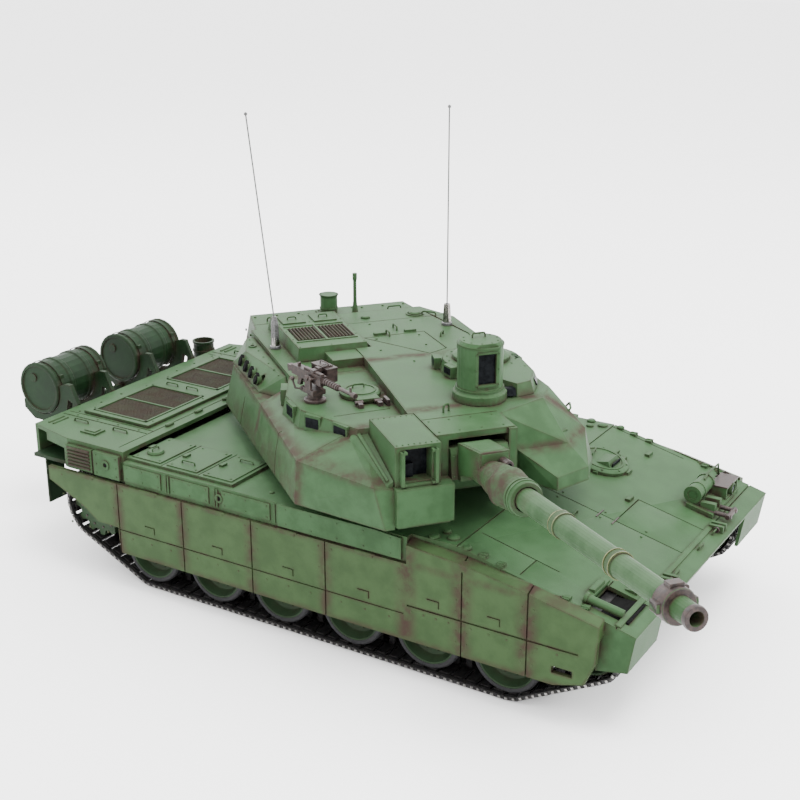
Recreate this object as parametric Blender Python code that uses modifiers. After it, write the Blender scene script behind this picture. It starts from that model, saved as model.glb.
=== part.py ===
"""A radio-controlled battle tank in desert-and-woodland green: hull, running gear, turret and gun.

Front is -Y, the tank's left is +X, up is +Z. Lengths below are millimetres and are turned
into metres when a mesh is made. At rest the turret is traversed to the right and the gun is
a little elevated.
"""

import math

import bmesh
import bpy
from mathutils import Matrix, Vector

MM = 0.001
GAP = 0.3

# Turret and gun at rest
TRAVERSE_DEG = -39.5
ELEVATION_DEG = 5.97
TRUNNION = (0.0, -100.0, 126.3)

# Hull
TUB_HALF = 68.0
TUB_WALL = 2.5
SHELF_LOW = 74.6
SHELF_TOP = 77.0
SIDE_HALF = 114.0
FRONT_HALF = 109.0
DECK_Z = 89.0
GLACIS_Y = -109.0
NOSE_Y = -215.0
REAR_Y = 215.0
REAR_DECK_Y = 130.0
REAR_DECK_Z = 94.5
SKIN = 2.7
GLACIS_SLOPE = 0.2423
RING_R = 70.0
RING_BORE_R = 58.0
DECK_HOLE_R = 63.0

# Skirts
SKIRT_OUT = 116.0
SKIRT_IN = 113.0
SKIRT_TOP = 73.4
SKIRT_LOW = 25.6

# Running gear
TRACK_IN = 71.0
TRACK_OUT = 107.2
TRACK_THICK = 3.7
WHEEL_Y = (117.5, 65.8, 15.5, -36.3, -87.7, -138.3)
WHEEL_Z = 25.5
WHEEL_R = 21.5
WHEEL_IN = 73.0
WHEEL_OUT = 104.5
SPROCKET_YZ = (163.0, 47.5)
SPROCKET_R = 21.8
SPROCKET_TEETH = 13
IDLER_YZ = (-187.0, 46.0)
IDLER_R = 16.4
AXLE_R = 3.0
BORE_R = 3.35
ARM_SWEEP = (-20.0, 10.0)

# Turret levels
BELLY_Z = 99.3
RIDGE_Z = 125.0
STATION_Z = 141.0
ROOF_Z = 147.0

GREEN = ((0.16, 0.26, 0.15, 1.0), 0.0, 0.5)
BROWN = ((0.10, 0.07, 0.06, 1.0), 0.3, 0.5)
BLACK = ((0.02, 0.02, 0.02, 1.0), 0.0, 0.6)
STEEL = ((0.45, 0.45, 0.46, 1.0), 0.9, 0.35)
CHROME = ((0.75, 0.74, 0.72, 1.0), 1.0, 0.12)
BOARD = ((0.02, 0.22, 0.08, 1.0), 0.0, 0.5)
CELL = ((0.05, 0.07, 0.30, 1.0), 0.0, 0.5)


def clear_scene():
    for obj in list(bpy.data.objects):
        bpy.data.objects.remove(obj, do_unlink=True)


def named_collection(name):
    made = bpy.data.collections.new(name)
    bpy.context.scene.collection.children.link(made)
    return made


def finish_material(name, look):
    colour, metallic, roughness = look
    material = bpy.data.materials.new(name)
    material.use_nodes = True
    shader = material.node_tree.nodes["Principled BSDF"]
    shader.inputs["Base Color"].default_value = colour
    shader.inputs["Metallic"].default_value = metallic
    shader.inputs["Roughness"].default_value = roughness
    return material


# Shapes. Each makes a closed bmesh in millimetres.


def tidy(shape):
    bmesh.ops.recalc_face_normals(shape, faces=shape.faces)
    return shape


def along(axis, flat, height):
    """The point at a height along an axis, over a place in the plane across it."""
    a, b = flat
    return {"X": (height, a, b), "Y": (a, height, b), "Z": (a, b, height)}[axis]


def prism(outline, axis, low, high):
    shape = bmesh.new()
    face = shape.faces.new([shape.verts.new(along(axis, p, low)) for p in outline])
    grown = bmesh.ops.extrude_face_region(shape, geom=[face])
    risen = [item for item in grown["geom"] if isinstance(item, bmesh.types.BMVert)]
    bmesh.ops.translate(shape, verts=risen, vec=along(axis, (0, 0), high - low))
    return tidy(shape)


def box(x, y, z):
    return prism([(x[0], y[0]), (x[1], y[0]), (x[1], y[1]), (x[0], y[1])], "Z", *z)


def circle(centre, radius, steps, start=0.0):
    turn = 2 * math.pi / steps
    return [
        (
            centre[0] + radius * math.cos(start + turn * i),
            centre[1] + radius * math.sin(start + turn * i),
        )
        for i in range(steps)
    ]


def rod(axis, centre, radius, low, high, steps=20):
    return prism(circle(centre, radius, steps), axis, low, high)


def rod_between(start, end, radius, steps=8, end_radius=None):
    """A round bar from one point to another."""
    start, end = Vector(start), Vector(end)
    run = end - start
    turn = run.to_track_quat("Z", "Y").to_matrix().to_4x4()
    shape = bmesh.new()
    bmesh.ops.create_cone(
        shape,
        cap_ends=True,
        segments=steps,
        radius1=radius,
        radius2=radius if end_radius is None else end_radius,
        depth=run.length,
        matrix=Matrix.Translation((start + end) / 2) @ turn,
    )
    return tidy(shape)


def hull(points):
    """The smallest convex solid round some points, as cast armour is faceted."""
    shape = bmesh.new()
    for point in points:
        shape.verts.new(point)
    made = bmesh.ops.convex_hull(shape, input=shape.verts)
    spare = set(made["geom_interior"]) | set(made["geom_unused"])
    for item in spare:
        if isinstance(item, bmesh.types.BMVert):
            shape.verts.remove(item)
    bmesh.ops.dissolve_limit(
        shape, angle_limit=0.001, verts=shape.verts, edges=shape.edges
    )
    return tidy(shape)


def turned(profile, axis, centre, steps=20):
    """A solid of revolution from (height, radius) pairs that start and end on the axis."""
    mesh = bpy.data.meshes.new("profile")
    spots = [(r * MM, 0, h * MM) for h, r in profile]
    mesh.from_pydata(spots, [(i, i + 1) for i in range(len(spots) - 1)], [])
    line = bpy.data.objects.new("profile", mesh)
    TOOLS.objects.link(line)
    screw = line.modifiers.new("turned", "SCREW")
    screw.axis = "Z"
    screw.steps = screw.render_steps = steps
    screw.use_merge_vertices = True
    screw.merge_threshold = 0.00001
    shape = bmesh.new()
    shape.from_mesh(line.evaluated_get(bpy.context.evaluated_depsgraph_get()).to_mesh())
    bpy.data.objects.remove(line)
    for vertex in shape.verts:
        x, y, z = vertex.co / MM
        vertex.co = along(axis, (x + centre[0], y + centre[1]), z)
    bmesh.ops.remove_doubles(shape, verts=shape.verts, dist=0.002)
    return tidy(shape)


def flipped(shape):
    """The same shape on the tank's other side."""
    bmesh.ops.scale(shape, vec=(-1, 1, 1), verts=shape.verts)
    return tidy(shape)


def sided(shape, side):
    return flipped(shape) if side < 0 else shape


# Objects


def place(name, shape, parent, at, collection):
    bmesh.ops.scale(shape, vec=(MM, MM, MM), verts=shape.verts)
    mesh = bpy.data.meshes.new(name)
    shape.to_mesh(mesh)
    shape.free()
    obj = bpy.data.objects.new(name, mesh)
    collection.objects.link(obj)
    obj.parent = parent
    obj.location = Vector(at) * MM
    return obj


def combine(target, shape, operation, count):
    tool = place(
        f"{target.name}_tool_{count}", shape, target.parent, (0, 0, 0), TOOLS
    )
    tool.location = target.location
    tool.hide_render = True
    tool.display_type = "WIRE"
    step = target.modifiers.new(f"{operation.lower()}_{count}", "BOOLEAN")
    step.operation = operation
    step.solver = "EXACT"
    step.object = tool


def part(name, shapes, parent, look=GREEN, cuts=(), at=(0, 0, 0)):
    """One sub-part: the first shape, with the others joined on and the cuts taken out."""
    obj = place(name, shapes[0], parent, at, PARTS)
    obj.data.materials.append(finish_material(name + "_finish", look))
    for count, shape in enumerate(shapes[1:]):
        combine(obj, shape, "UNION", count)
    for count, shape in enumerate(cuts, len(shapes)):
        combine(obj, shape, "DIFFERENCE", count)
    return obj


def smooth(obj, degrees=35):
    for face in obj.data.polygons:
        face.use_smooth = True
    obj.data.set_sharp_from_angle(angle=math.radians(degrees))


def pivot(name, parent, at, turn=(0, 0, 0)):
    empty = bpy.data.objects.new(name, None)
    PARTS.objects.link(empty)
    empty.parent = parent
    empty.location = Vector(at) * MM
    empty.rotation_euler = [math.radians(angle) for angle in turn]
    return empty


# Hull


def under_glacis(y):
    return DECK_Z - SKIN + GLACIS_SLOPE * (y - GLACIS_Y)


def make_lower_hull(root):
    outline = [
        (-176, 31),
        (196, 31),
        (206, 42),
        (206, SHELF_TOP),
        (-145.5, SHELF_TOP),
        (-200, 63.5),
        (-202, 60.5),
    ]
    hollow = [
        (-174.9, 33.5),
        (194.8, 33.5),
        (203.5, 43.2),
        (203.5, 80),
        (-190, 80),
        (-198.5, 60.4),
    ]
    shapes = [prism(outline, "X", -TUB_HALF, TUB_HALF)]
    cuts = [prism(hollow, "X", TUB_WALL - TUB_HALF, TUB_HALF - TUB_WALL)]
    inner = TUB_HALF - TUB_WALL + 0.1
    for side in (1, -1):
        for y, x_out in (((-145.5, -76), FRONT_HALF - 3), ((-76.6, 211), SIDE_HALF - 3.3)):
            shapes.append(sided(box((inner, x_out), y, (SHELF_LOW, SHELF_TOP)), side))
        shapes.append(sided(rod("X", IDLER_YZ, 6.5, inner, 72.6, 16), side))
        shapes.append(sided(rod("X", IDLER_YZ, AXLE_R, 72, 99, 12), side))
        for y in WHEEL_Y:
            hole = (y + ARM_SWEEP[0], WHEEL_Z + ARM_SWEEP[1])
            cuts.append(sided(rod("X", hole, BORE_R, 60, 70, 12), side))
    cuts.append(rod("X", SPROCKET_YZ, BORE_R, -80, 80, 12))
    return part("lower_hull", shapes, root, GREEN, cuts)


def make_upper_hull(root):
    outline = [
        (NOSE_Y, 62.9),
        (-203.5, 66.1),
        (GLACIS_Y, DECK_Z),
        (REAR_DECK_Y, DECK_Z),
        (REAR_DECK_Y, REAR_DECK_Z),
        (REAR_Y, REAR_DECK_Z),
        (REAR_Y, 73.8),
        (-161, 73.8),
        (-203, under_glacis(-203)),
        (-214, 60.4),
    ]
    hollow = [
        (-185, under_glacis(-185)),
        (GLACIS_Y, DECK_Z - SKIN),
        (REAR_DECK_Y - 2.5, DECK_Z - SKIN),
        (REAR_DECK_Y - 2.5, REAR_DECK_Z - SKIN),
        (REAR_Y - 3, REAR_DECK_Z - SKIN),
        (REAR_Y - 3, 60),
        (-185, 60),
    ]
    shapes = [prism(outline, "X", -SIDE_HALF, SIDE_HALF)]
    cuts = [
        prism(hollow, "X", 2.7 - FRONT_HALF, FRONT_HALF - 2.7),
        box((3 - SIDE_HALF, SIDE_HALF - 3), (-77, 212), (60, DECK_Z - SKIN)),
        rod("Z", (0, 0), DECK_HOLE_R, 80, 100, 40),
    ]
    for side in (1, -1):
        cuts.append(sided(box((FRONT_HALF, 130), (-240, -80), (50, 100)), side))
        corner = [(112, 128), (130, 128), (130, 220), (103, 220), (104, 212), (112, 178)]
        cuts.append(sided(prism(corner, "Z", 60, 110), side))
        shapes.append(sided(box((70, 110), (45, REAR_DECK_Y + 1), (88, 90.8)), side))
        flap = [(NOSE_Y + 1, 62), (-211.2, 41), (-193, 37.5), (-193, 68), (-203.5, 65)]
        shapes.append(sided(prism(flap, "X", FRONT_HALF - 1.5, FRONT_HALF), side))
        front = [(NOSE_Y + 0.4, 62.5), (-211.2, 41), (-209.2, 41), (-212, 61.2)]
        shapes.append(sided(prism(front, "X", TUB_HALF, FRONT_HALF), side))
    return part("upper_hull", shapes, root, GREEN, cuts)


def ridge_z(y):
    """The height of the front skirt modules' outer ridge."""
    spots = ((-197.0, 67.0), (-154.0, 76.0), (-115.0, 82.0), (-80.0, 85.0))
    for (y0, z0), (y1, z1) in zip(spots, spots[1:]):
        if y <= y1:
            return z0 + (z1 - z0) * (y - y0) / (y1 - y0)
    return spots[-1][1]


def make_skirt(root, name, side):
    stations = (-80.6, -115, -154, -197)
    outline = [(193, 64), (177, 57), (164, 51), (152, 43), (135, 43), (134, SKIRT_LOW)]
    outline += [(-172, SKIRT_LOW), (-190, 31), (-196, 45), (-197, ridge_z(-197))]
    outline += [(y, ridge_z(y)) for y in reversed(stations[:-1])]
    outline += [(-80.6, SKIRT_TOP), (193, SKIRT_TOP)]
    shapes = [prism(outline, "X", SKIRT_IN, SKIRT_OUT)]
    inner = FRONT_HALF + GAP
    for y0, y1 in zip(stations, stations[1:]):
        corners = []
        for y in (y0, y1):
            top = ridge_z(y)
            corners += [(SKIRT_OUT, y, top), (inner, y, top + 2.5)]
            corners += [(inner, y, top - 7), (SKIRT_OUT, y, top - 9)]
        shapes.append(hull(corners))
    slot = box((105, 120), (-183, -171), (33, 37))
    cuts = [sided(slot, side)]
    return part(name, [sided(shape, side) for shape in shapes], root, GREEN, cuts)


def make_engine_deck(root):
    frame = box((-72, 72), (144, 201), (REAR_DECK_Z + GAP, REAR_DECK_Z + 2.1))
    wells = [
        box(x, (149.5, 196), (REAR_DECK_Z + 1.1, REAR_DECK_Z + 5)) for x in ((-68, -8), (7, 67))
    ]
    return part("engine_deck", [frame], root, GREEN, wells)


# Rear fittings

DRUM_YZ = (250.0, 101.0)
DRUM_R = 18.5
DRUM_HALF = 25.0
DRUM_X = 40.0


def make_drum(root, name, side):
    groove = DRUM_R - 0.9
    recess = DRUM_R - 2.6
    profile = [(1.0 - DRUM_HALF, 0), (1.0 - DRUM_HALF, recess), (-DRUM_HALF, recess)]
    profile += [(-DRUM_HALF, groove), (0.8 - DRUM_HALF, DRUM_R)]
    profile += [(2.4 - DRUM_HALF, DRUM_R), (3.0 - DRUM_HALF, groove)]
    far_end = [(-h, r) for h, r in reversed(profile)]
    for middle in (-9.0, 9.0):
        for h, r in ((-2.4, groove), (-1.6, DRUM_R), (1.6, DRUM_R), (2.4, groove)):
            profile.append((middle + h, r))
    rims = turned(profile + far_end, "X", (0, 0), 24)
    return part(name, [rims], root, GREEN, at=(side * DRUM_X, *DRUM_YZ))


def make_drum_rack(root):
    arm = [(REAR_Y + GAP, 77), (258, 77), (267, 84), (267, 90), (226, 108)]
    arm += [(221, 108), (REAR_Y + GAP, 95)]
    shapes = [prism(arm, "X", x - 1.6, x + 1.6) for x in (-62, -28, 20, 60)]
    shapes.insert(1, box((-63, 61), (REAR_Y + GAP, 218.3), (79, 84)))
    shapes.insert(2, box((-63, 61), (249, 252), (77.4, 80.5)))
    cuts = [rod("X", DRUM_YZ, DRUM_R + 0.5, -80, 80, 32)]
    cuts += [
        prism([(222, 84), (227, 84), (224, 97), (220, 95)], "X", x - 4, x + 4)
        for x in (-62, -28, 20, 60)
    ]
    return part("drum_rack", shapes, root, GREEN, cuts)


def make_exhaust_cap(root):
    profile = [(82, 0), (82, 7.2), (84, 8.0), (97, 8.0), (98, 8.6), (99.4, 8.6)]
    profile += [(99.4, 7.0), (86, 7.0), (86, 0)]
    cup = turned(profile, "Z", (88, 228), 20)
    bracket = box((84.5, 91.5), (REAR_Y + GAP, 221.5), (84, 90))
    return part("exhaust_cap", [cup, bracket], root, GREEN)


def glacis_z(y):
    return DECK_Z + GLACIS_SLOPE * (y - GLACIS_Y)


def on_glacis(x, y, tops):
    """A block standing on the glacis, given its footprint and the heights of its top edge."""
    corners = []
    for spot, top in zip(y, tops):
        for wide in x:
            corners += [(wide, spot, glacis_z(spot) + GAP), (wide, spot, top)]
    return hull(corners)


def make_headlamps(root):
    shapes = [
        on_glacis((44, 92), (-201.5, -184), (69.5, 73.6)),
        rod("X", (-187, 78.5), 5.2, 47, 71, 16),
        on_glacis((52, 66), (-190, -184), (76, 76)),
        box((69.5, 91), (-201, -190), (70, 77.5)),
        on_glacis((47, 51), (-201.5, -192), (75, 75)),
        on_glacis((56, 60), (-201.5, -192), (75, 75)),
    ]
    cuts = [box((71, 89.5), (-205, -199), (71, 76))]
    return part("headlamp_cluster", shapes, root, GREEN, cuts)


def make_driver_hatch(root):
    slope = math.degrees(math.atan(GLACIS_SLOPE))
    at = (69.5, -125.0, glacis_z(-125.0))
    empty = pivot("driver_hatch_pivot", root, at, (slope, 0, 0))
    lid = turned([(GAP, 0), (GAP, 17), (2.2, 17), (3.2, 15), (3.2, 0)], "Z", (-19, 0), 24)
    lug = box((-6, 2.5), (-3, 3), (GAP, 3.0))
    visor = hull(
        [(-27, -9, 2.5), (-11, -9, 2.5), (-27, 3, 2.5), (-11, 3, 2.5), (-26, -6, 6.2), (-12, -6, 6.2)]
    )
    return part("driver_hatch", [lid, lug, visor], empty, GREEN)


def make_inside(root):
    part("battery_pack", [box((-30, 30), (-120, -10), (33.8, 58))], root, CELL)
    board = box((-34, 34), (10, 92), (35.5, 37.2))
    feet = [box((x - 3, x + 3), (y - 3, y + 3), (33.8, 36)) for x in (-28, 28) for y in (16, 86)]
    chips = [
        box((-14, 6), (30, 50), (36.8, 41)),
        box((12, 28), (24, 66), (36.8, 44)),
        box((-26, -18), (56, 84), (36.8, 46)),
    ]
    part("control_board", [board] + feet + chips, root, BOARD)
    case = box((-44, 44), (138, 192), (33.8, 66))
    shaft = rod("X", SPROCKET_YZ, AXLE_R, -100, 100, 12)
    motors = [rod("X", (122, 48), 12.5, 6, 42, 16), rod("X", (122, 48), 12.5, -42, -6, 16)]
    bridge = box((-40, 40), (126, 142), (38, 58))
    part("drive_gearbox", [case, bridge, shaft] + motors, root, STEEL)


# Running gear


def belt_outline(grow):
    """The track's line: the tightest loop round the sprocket, the idler and the end wheels."""
    wheel_r = WHEEL_Z - TRACK_THICK
    rounds = [
        (SPROCKET_YZ, 22.3),
        (IDLER_YZ, IDLER_R + 0.4),
        ((WHEEL_Y[0], WHEEL_Z), wheel_r),
        ((WHEEL_Y[-1], WHEEL_Z), wheel_r),
    ]
    spots = []
    for centre, radius in rounds:
        spots += circle(centre, radius + grow, 48, math.pi / 2)
    return loop_round(spots)


def loop_round(spots):
    """The points of a flat set that lie on its tightest loop, in order."""
    spots = sorted(set(spots))

    def half(points):
        kept = []
        for point in points:
            while len(kept) > 1 and turn(kept[-2], kept[-1], point) <= 1e-6:
                kept.pop()
            kept.append(point)
        return kept[:-1]

    return half(spots) + half(spots[::-1])


def turn(a, b, c):
    return (b[0] - a[0]) * (c[1] - a[1]) - (b[1] - a[1]) * (c[0] - a[0])


def make_track(root, name, side):
    band = prism(belt_outline(TRACK_THICK), "X", TRACK_IN, TRACK_OUT)
    inside = prism(belt_outline(0), "X", TRACK_IN - 5, TRACK_OUT + 5)
    return part(name, [sided(band, side)], root, BLACK, [sided(inside, side)])


def make_wheel(parent, name, side, x):
    inner, outer = WHEEL_IN - x, WHEEL_OUT - x
    profile = [(outer - 6, 0), (outer - 6, BORE_R), (inner, BORE_R), (inner, WHEEL_R)]
    profile += [(inner + 12, WHEEL_R), (inner + 12, 15), (inner + 19, 15)]
    profile += [(inner + 19, WHEEL_R), (outer, WHEEL_R), (outer, 19.2), (outer - 6, 16.5)]
    profile += [(outer - 7.5, 8), (outer - 2, 6.5), (outer - 1, 5), (outer - 1, 0)]
    shape = turned(profile, "X", (0, 0), 22)
    return part(name, [sided(shape, side)], parent, GREEN)


def make_arm(parent, name, side, x):
    """A trailing arm: its torsion stub, the plate, and the pin that the wheel turns on."""
    reach = (-ARM_SWEEP[0], -ARM_SWEEP[1])
    low, high = TUB_HALF + GAP - x, WHEEL_IN - GAP - x
    ends = circle((0, 0), 6.5, 14) + circle(reach, 5.5, 14)
    plate = prism(loop_round(ends), "X", low, high)
    stub = rod("X", (0, 0), AXLE_R, low - 5, low + 1, 12)
    pin = rod("X", reach, AXLE_R, high - 1, WHEEL_OUT - 8.5 - x, 12)
    shapes = [sided(shape, side) for shape in (plate, stub, pin)]
    return part(name, shapes, parent, BLACK)


def make_running_gear(root):
    for side, word in ((-1, "right"), (1, "left")):
        make_track(root, f"track_belt_{word}", side)
        for count, y in enumerate(reversed(WHEEL_Y), 1):
            at = (side * TUB_HALF, y + ARM_SWEEP[0], WHEEL_Z + ARM_SWEEP[1])
            swing = pivot(f"swing_{word}_{count}", root, at)
            make_arm(swing, f"swing_arm_{word}_{count}", side, TUB_HALF)
            hub = (0, -ARM_SWEEP[0], -ARM_SWEEP[1])
            axle = pivot(f"axle_{word}_{count}", swing, hub)
            make_wheel(axle, f"road_wheel_{word}_{count}", side, TUB_HALF)
        make_sprocket(root, f"sprocket_{word}", side)
        make_idler(root, f"idler_{word}", side)


def gear_outline():
    spots = []
    for tooth in range(SPROCKET_TEETH):
        for part_turn, radius in ((0.0, 18.6), (0.34, 18.6), (0.52, 21.8), (0.82, 21.8)):
            angle = 2 * math.pi * (tooth + part_turn) / SPROCKET_TEETH
            spots.append((radius * math.cos(angle), radius * math.sin(angle)))
    return spots


def make_sprocket(root, name, side):
    shapes = [rod("X", (0, 0), 14, 74, 101.5, 20)]
    shapes += [prism(gear_outline(), "X", low, low + 3.4) for low in (75, 99.4)]
    shapes.append(rod("X", (0, 0), 8, 101, 104.6, 16))
    cuts = [rod("X", (0, 0), BORE_R, 60, 101, 12)]
    at = (0, *SPROCKET_YZ)
    shapes = [sided(shape, side) for shape in shapes]
    return part(name, shapes, root, GREEN, [sided(cut, side) for cut in cuts], at)


def make_idler(root, name, side):
    profile = [(100, 0), (100, BORE_R), (74, BORE_R), (74, IDLER_R), (84, IDLER_R), (84, 12)]
    profile += [(93, 12), (93, IDLER_R), (103, IDLER_R), (103, 14), (99, 12), (98, 7)]
    profile += [(103, 6), (103, 0)]
    shape = turned(profile, "X", (0, 0), 22)
    return part(name, [sided(shape, side)], root, GREEN, (), (0, *IDLER_YZ))


# Turret


def turret_shapes():
    """The armour, as convex blocks run together."""
    right_flank = hull(
        [(-91, 3.4, BELLY_Z), (-90, -93, BELLY_Z), (-18, -93, BELLY_Z), (-18, 3.4, BELLY_Z)]
        + [(-85.6, 3.4, 126), (-88, -92, RIDGE_Z), (-18, -96.5, 136), (-58, -88, 136)]
        + [(-66, 3.4, 136), (-18, 3.4, 136)]
    )
    right_rear = hull(
        [(-91, 0, BELLY_Z), (-91, 85, BELLY_Z), (-62, 118, BELLY_Z), (-18, 118, BELLY_Z)]
        + [(-85.6, 0, 125.7), (-84.5, 85, 125.7), (-60, 112, 125.7), (-18, 112, 125.7)]
        + [(-18, 0, BELLY_Z), (-18, 0, 125.7)]
    )
    right_cheek = hull(
        [(-90, -93, BELLY_Z), (-53, -144, BELLY_Z), (-47.4, -144, BELLY_Z), (-47.4, -90, BELLY_Z)]
        + [(-88, -92, RIDGE_Z), (-59, -142.5, RIDGE_Z), (-47.4, -142.5, 122.5)]
        + [(-57, -88, 136), (-47.4, -88, 136)]
    )
    station_top = [(-15, 3.5), (-67, 3.5), (-77, -28), (-75, -55), (-63, -72), (-53, -96)]
    station_foot = [(-15, 3.5), (-70, 3.5), (-80, -28), (-78, -57), (-65, -75), (-55, -96.9)]
    station = hull(
        [(x, y, STATION_Z) for x, y in station_top + [(-24, -96.8)]]
        + [(x, y, 127) for x, y in station_foot + [(-24, -96.9)]]
    )
    rear_shelf = box((-65.6, -4), (2, 111), (110, STATION_Z))
    sight_shelf = box((-47.6, -13.3), (-141, -90), (BELLY_Z, 122.7))
    sight_foot = box((-45.4, -15.3), (-144, -139), (BELLY_Z, 116.5))
    core = box((-20, 31), (-103.6, 100), (BELLY_Z, 138))
    roof_front = prism(
        [(-23.6, -97), (-20.2, -97), (-20.2, -113), (25, -113), (60, -97), (72, -80), (72, 29.7)]
        + [(-15, 29.7), (-15, 18)],
        "Z",
        112,
        ROOF_Z,
    )
    gun_roof = box((-20.2, 26.5), (-134, -100), (106, ROOF_Z))
    wall = box((22, 27), (-136, -108), (BELLY_Z + 9, ROOF_Z - 0.4))
    roof_rear = prism(
        [(-4.5, 29), (72, 29), (72, 78), (58, 110), (-4.5, 110)], "Z", 112, ROOF_Z
    )
    left_flank = hull(
        [(91, 6, BELLY_Z), (93, -100, 105), (76, -112, 105), (25, -112, 105), (25, 6, BELLY_Z)]
        + [(88, -98, RIDGE_Z), (90, 6, 130), (72, 6, ROOF_Z), (72, -80, ROOF_Z)]
        + [(60, -97, ROOF_Z), (25, -113, ROOF_Z), (25, 6, ROOF_Z)]
        + [(36, -117.5, RIDGE_Z), (68, -117.5, RIDGE_Z)]
    )
    left_nose = hull(
        [(40, -116, 105.5), (52, -138, 105.5), (76, -129, 105.5), (93, -100, 105.5)]
        + [(52, -137.5, 113.5), (76, -128, 113.5), (36, -117.5, RIDGE_Z), (36, -105, 106)]
        + [(68, -117.5, RIDGE_Z), (88, -98, RIDGE_Z), (60, -97, RIDGE_Z)]
    )
    left_rear = hull(
        [(91, 0, BELLY_Z), (91, 85, BELLY_Z), (62, 118, BELLY_Z), (20, 118, BELLY_Z)]
        + [(87, 0, 125.7), (84.5, 85, 125.7), (60, 112, 125.7), (20, 112, 125.7)]
        + [(20, 0, BELLY_Z), (20, 0, 125.7)]
    )
    bustle = hull(
        [(x, y, z) for x in (-64, 64) for y, z in ((100, 104), (150, 108), (100, STATION_Z))]
        + [(x, 147, STATION_Z) for x in (-58, 58)]
    )
    step = box((-36, -14.6), (11, 30), (139, ROOF_Z - 0.6))
    ring = rod("Z", (0, 0), RING_R, DECK_Z + GAP, BELLY_Z + 2, 40)
    spigot = rod("Z", (0, 0), DECK_HOLE_R - 1.2, 83.5, 92, 40)
    return [core, right_flank, right_rear, right_cheek, station, rear_shelf, sight_shelf] + [
        sight_foot,
        roof_front,
        gun_roof,
        wall,
        roof_rear,
        left_flank,
        left_nose,
        left_rear,
        bustle,
        step,
        ring,
        spigot,
    ]


def make_turret_shell(turret):
    cuts = [
        rod("Z", (0, 0), RING_BORE_R, 80, 106, 40),
        prism(
            [(-52, -80), (55, -80), (64, -60), (64, 84), (-58, 84), (-58, -60)],
            "Z",
            104,
            134,
        ),
        box((-13, 22), (-160, -104), (104, STATION_Z + 2.4)),
        box((-13, 22), (-160, -133), (90, STATION_Z + 2.4)),
    ]
    return part("turret_shell", turret_shapes(), turret, GREEN, cuts)


def make_gunner_sight(turret):
    body = hull(
        [(x, -143, z) for x in (-46.8, -20.7) for z in (123, 146.6)]
        + [(x, -97.3, z) for x in (-46.8, -20.7) for z in (136, ROOF_Z)]
        + [(x, -112, 123) for x in (-46.8, -20.7)]
    )
    window = box((-41.5, -26), (-150, -131), (126, 144.6))
    return part("gunner_sight", [body], turret, GREEN, [window])


def make_vent_housing(turret):
    body = hull(
        [(x, y, STATION_Z + GAP) for x in (-54, -5) for y in (30.3, 110)]
        + [(x, y, 150) for x in (-52.5, -6.5) for y in (32, 108)]
    )
    slats = []
    for x0 in (-49, -28):
        for count in range(8):
            x = x0 + 2.3 * count
            slats.append(box((x, x + 1.1), (48, 76), (148.4, 155)))
    return part("vent_housing", [body], turret, GREEN, slats)


def make_launcher(turret, name, side, inner, front):
    foot = 126.0
    body = hull(
        [(84, 90, foot), (81.5, 25, foot), (inner + 4, front + 3, foot), (inner, front, foot)]
        + [(inner, 103, foot), (inner + 6, 103, foot), (inner + 5, 103, 138), (78, 75, 138)]
        + [(inner + 2, 22, 138), (inner, 15, 138), (inner, 103, 138)]
    )
    tubes = []
    for y in (73, 60, 47, 33):
        mouth = (90, y, 132)
        tubes.append(rod_between(mouth, (inner + 5, y + 2, 130.5), 3.0, 10))
    shapes = [sided(body, side)]
    return part(name, shapes, turret, GREEN, [sided(tube, side) for tube in tubes])


def make_antenna(turret, name, at, base_top, lean):
    """A sprung chrome foot with a thin whip."""
    x, y, foot = at
    cone = turned(
        [(foot, 0), (foot, 3.6), (foot + 1.5, 3.6), (foot + 2, 2.9), (base_top - 5, 2.4)]
        + [(base_top, 1.3), (base_top, 0)],
        "Z",
        (x, y),
        14,
    )
    tip = (x + lean[0], y + lean[1], 295.0)
    whip = rod_between((x, y, base_top - 4), tip, 0.5, 6)
    ball = bmesh.new()
    bmesh.ops.create_icosphere(ball, subdivisions=1, radius=1.3)
    bmesh.ops.translate(ball, verts=ball.verts, vec=tip)
    return part(name, [cone, whip, tidy(ball)], turret, CHROME)


def make_sensor_mast(turret):
    foot = STATION_Z + GAP
    plate = box((-12, 17), (112.5, 138), (foot, foot + 1.6))
    can = turned(
        [(foot + 1, 0), (foot + 1, 6.2), (154.6, 6.2), (156.4, 7.0), (156.4, 0)],
        "Z",
        (-4, 130),
        18,
    )
    mast = turned(
        [(foot + 1, 0), (foot + 1, 3.0), (foot + 3, 3.0), (foot + 4, 2.2), (153, 1.4)]
        + [(168, 1.3), (169, 1.7), (173.4, 1.7), (173.4, 0)],
        "Z",
        (12, 118),
        12,
    )
    return part("sensor_mast", [plate, can, mast], turret)


SIGHT_AT = (25.0, -85.0)
CUPOLA_AT = (46.0, -36.0)


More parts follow.
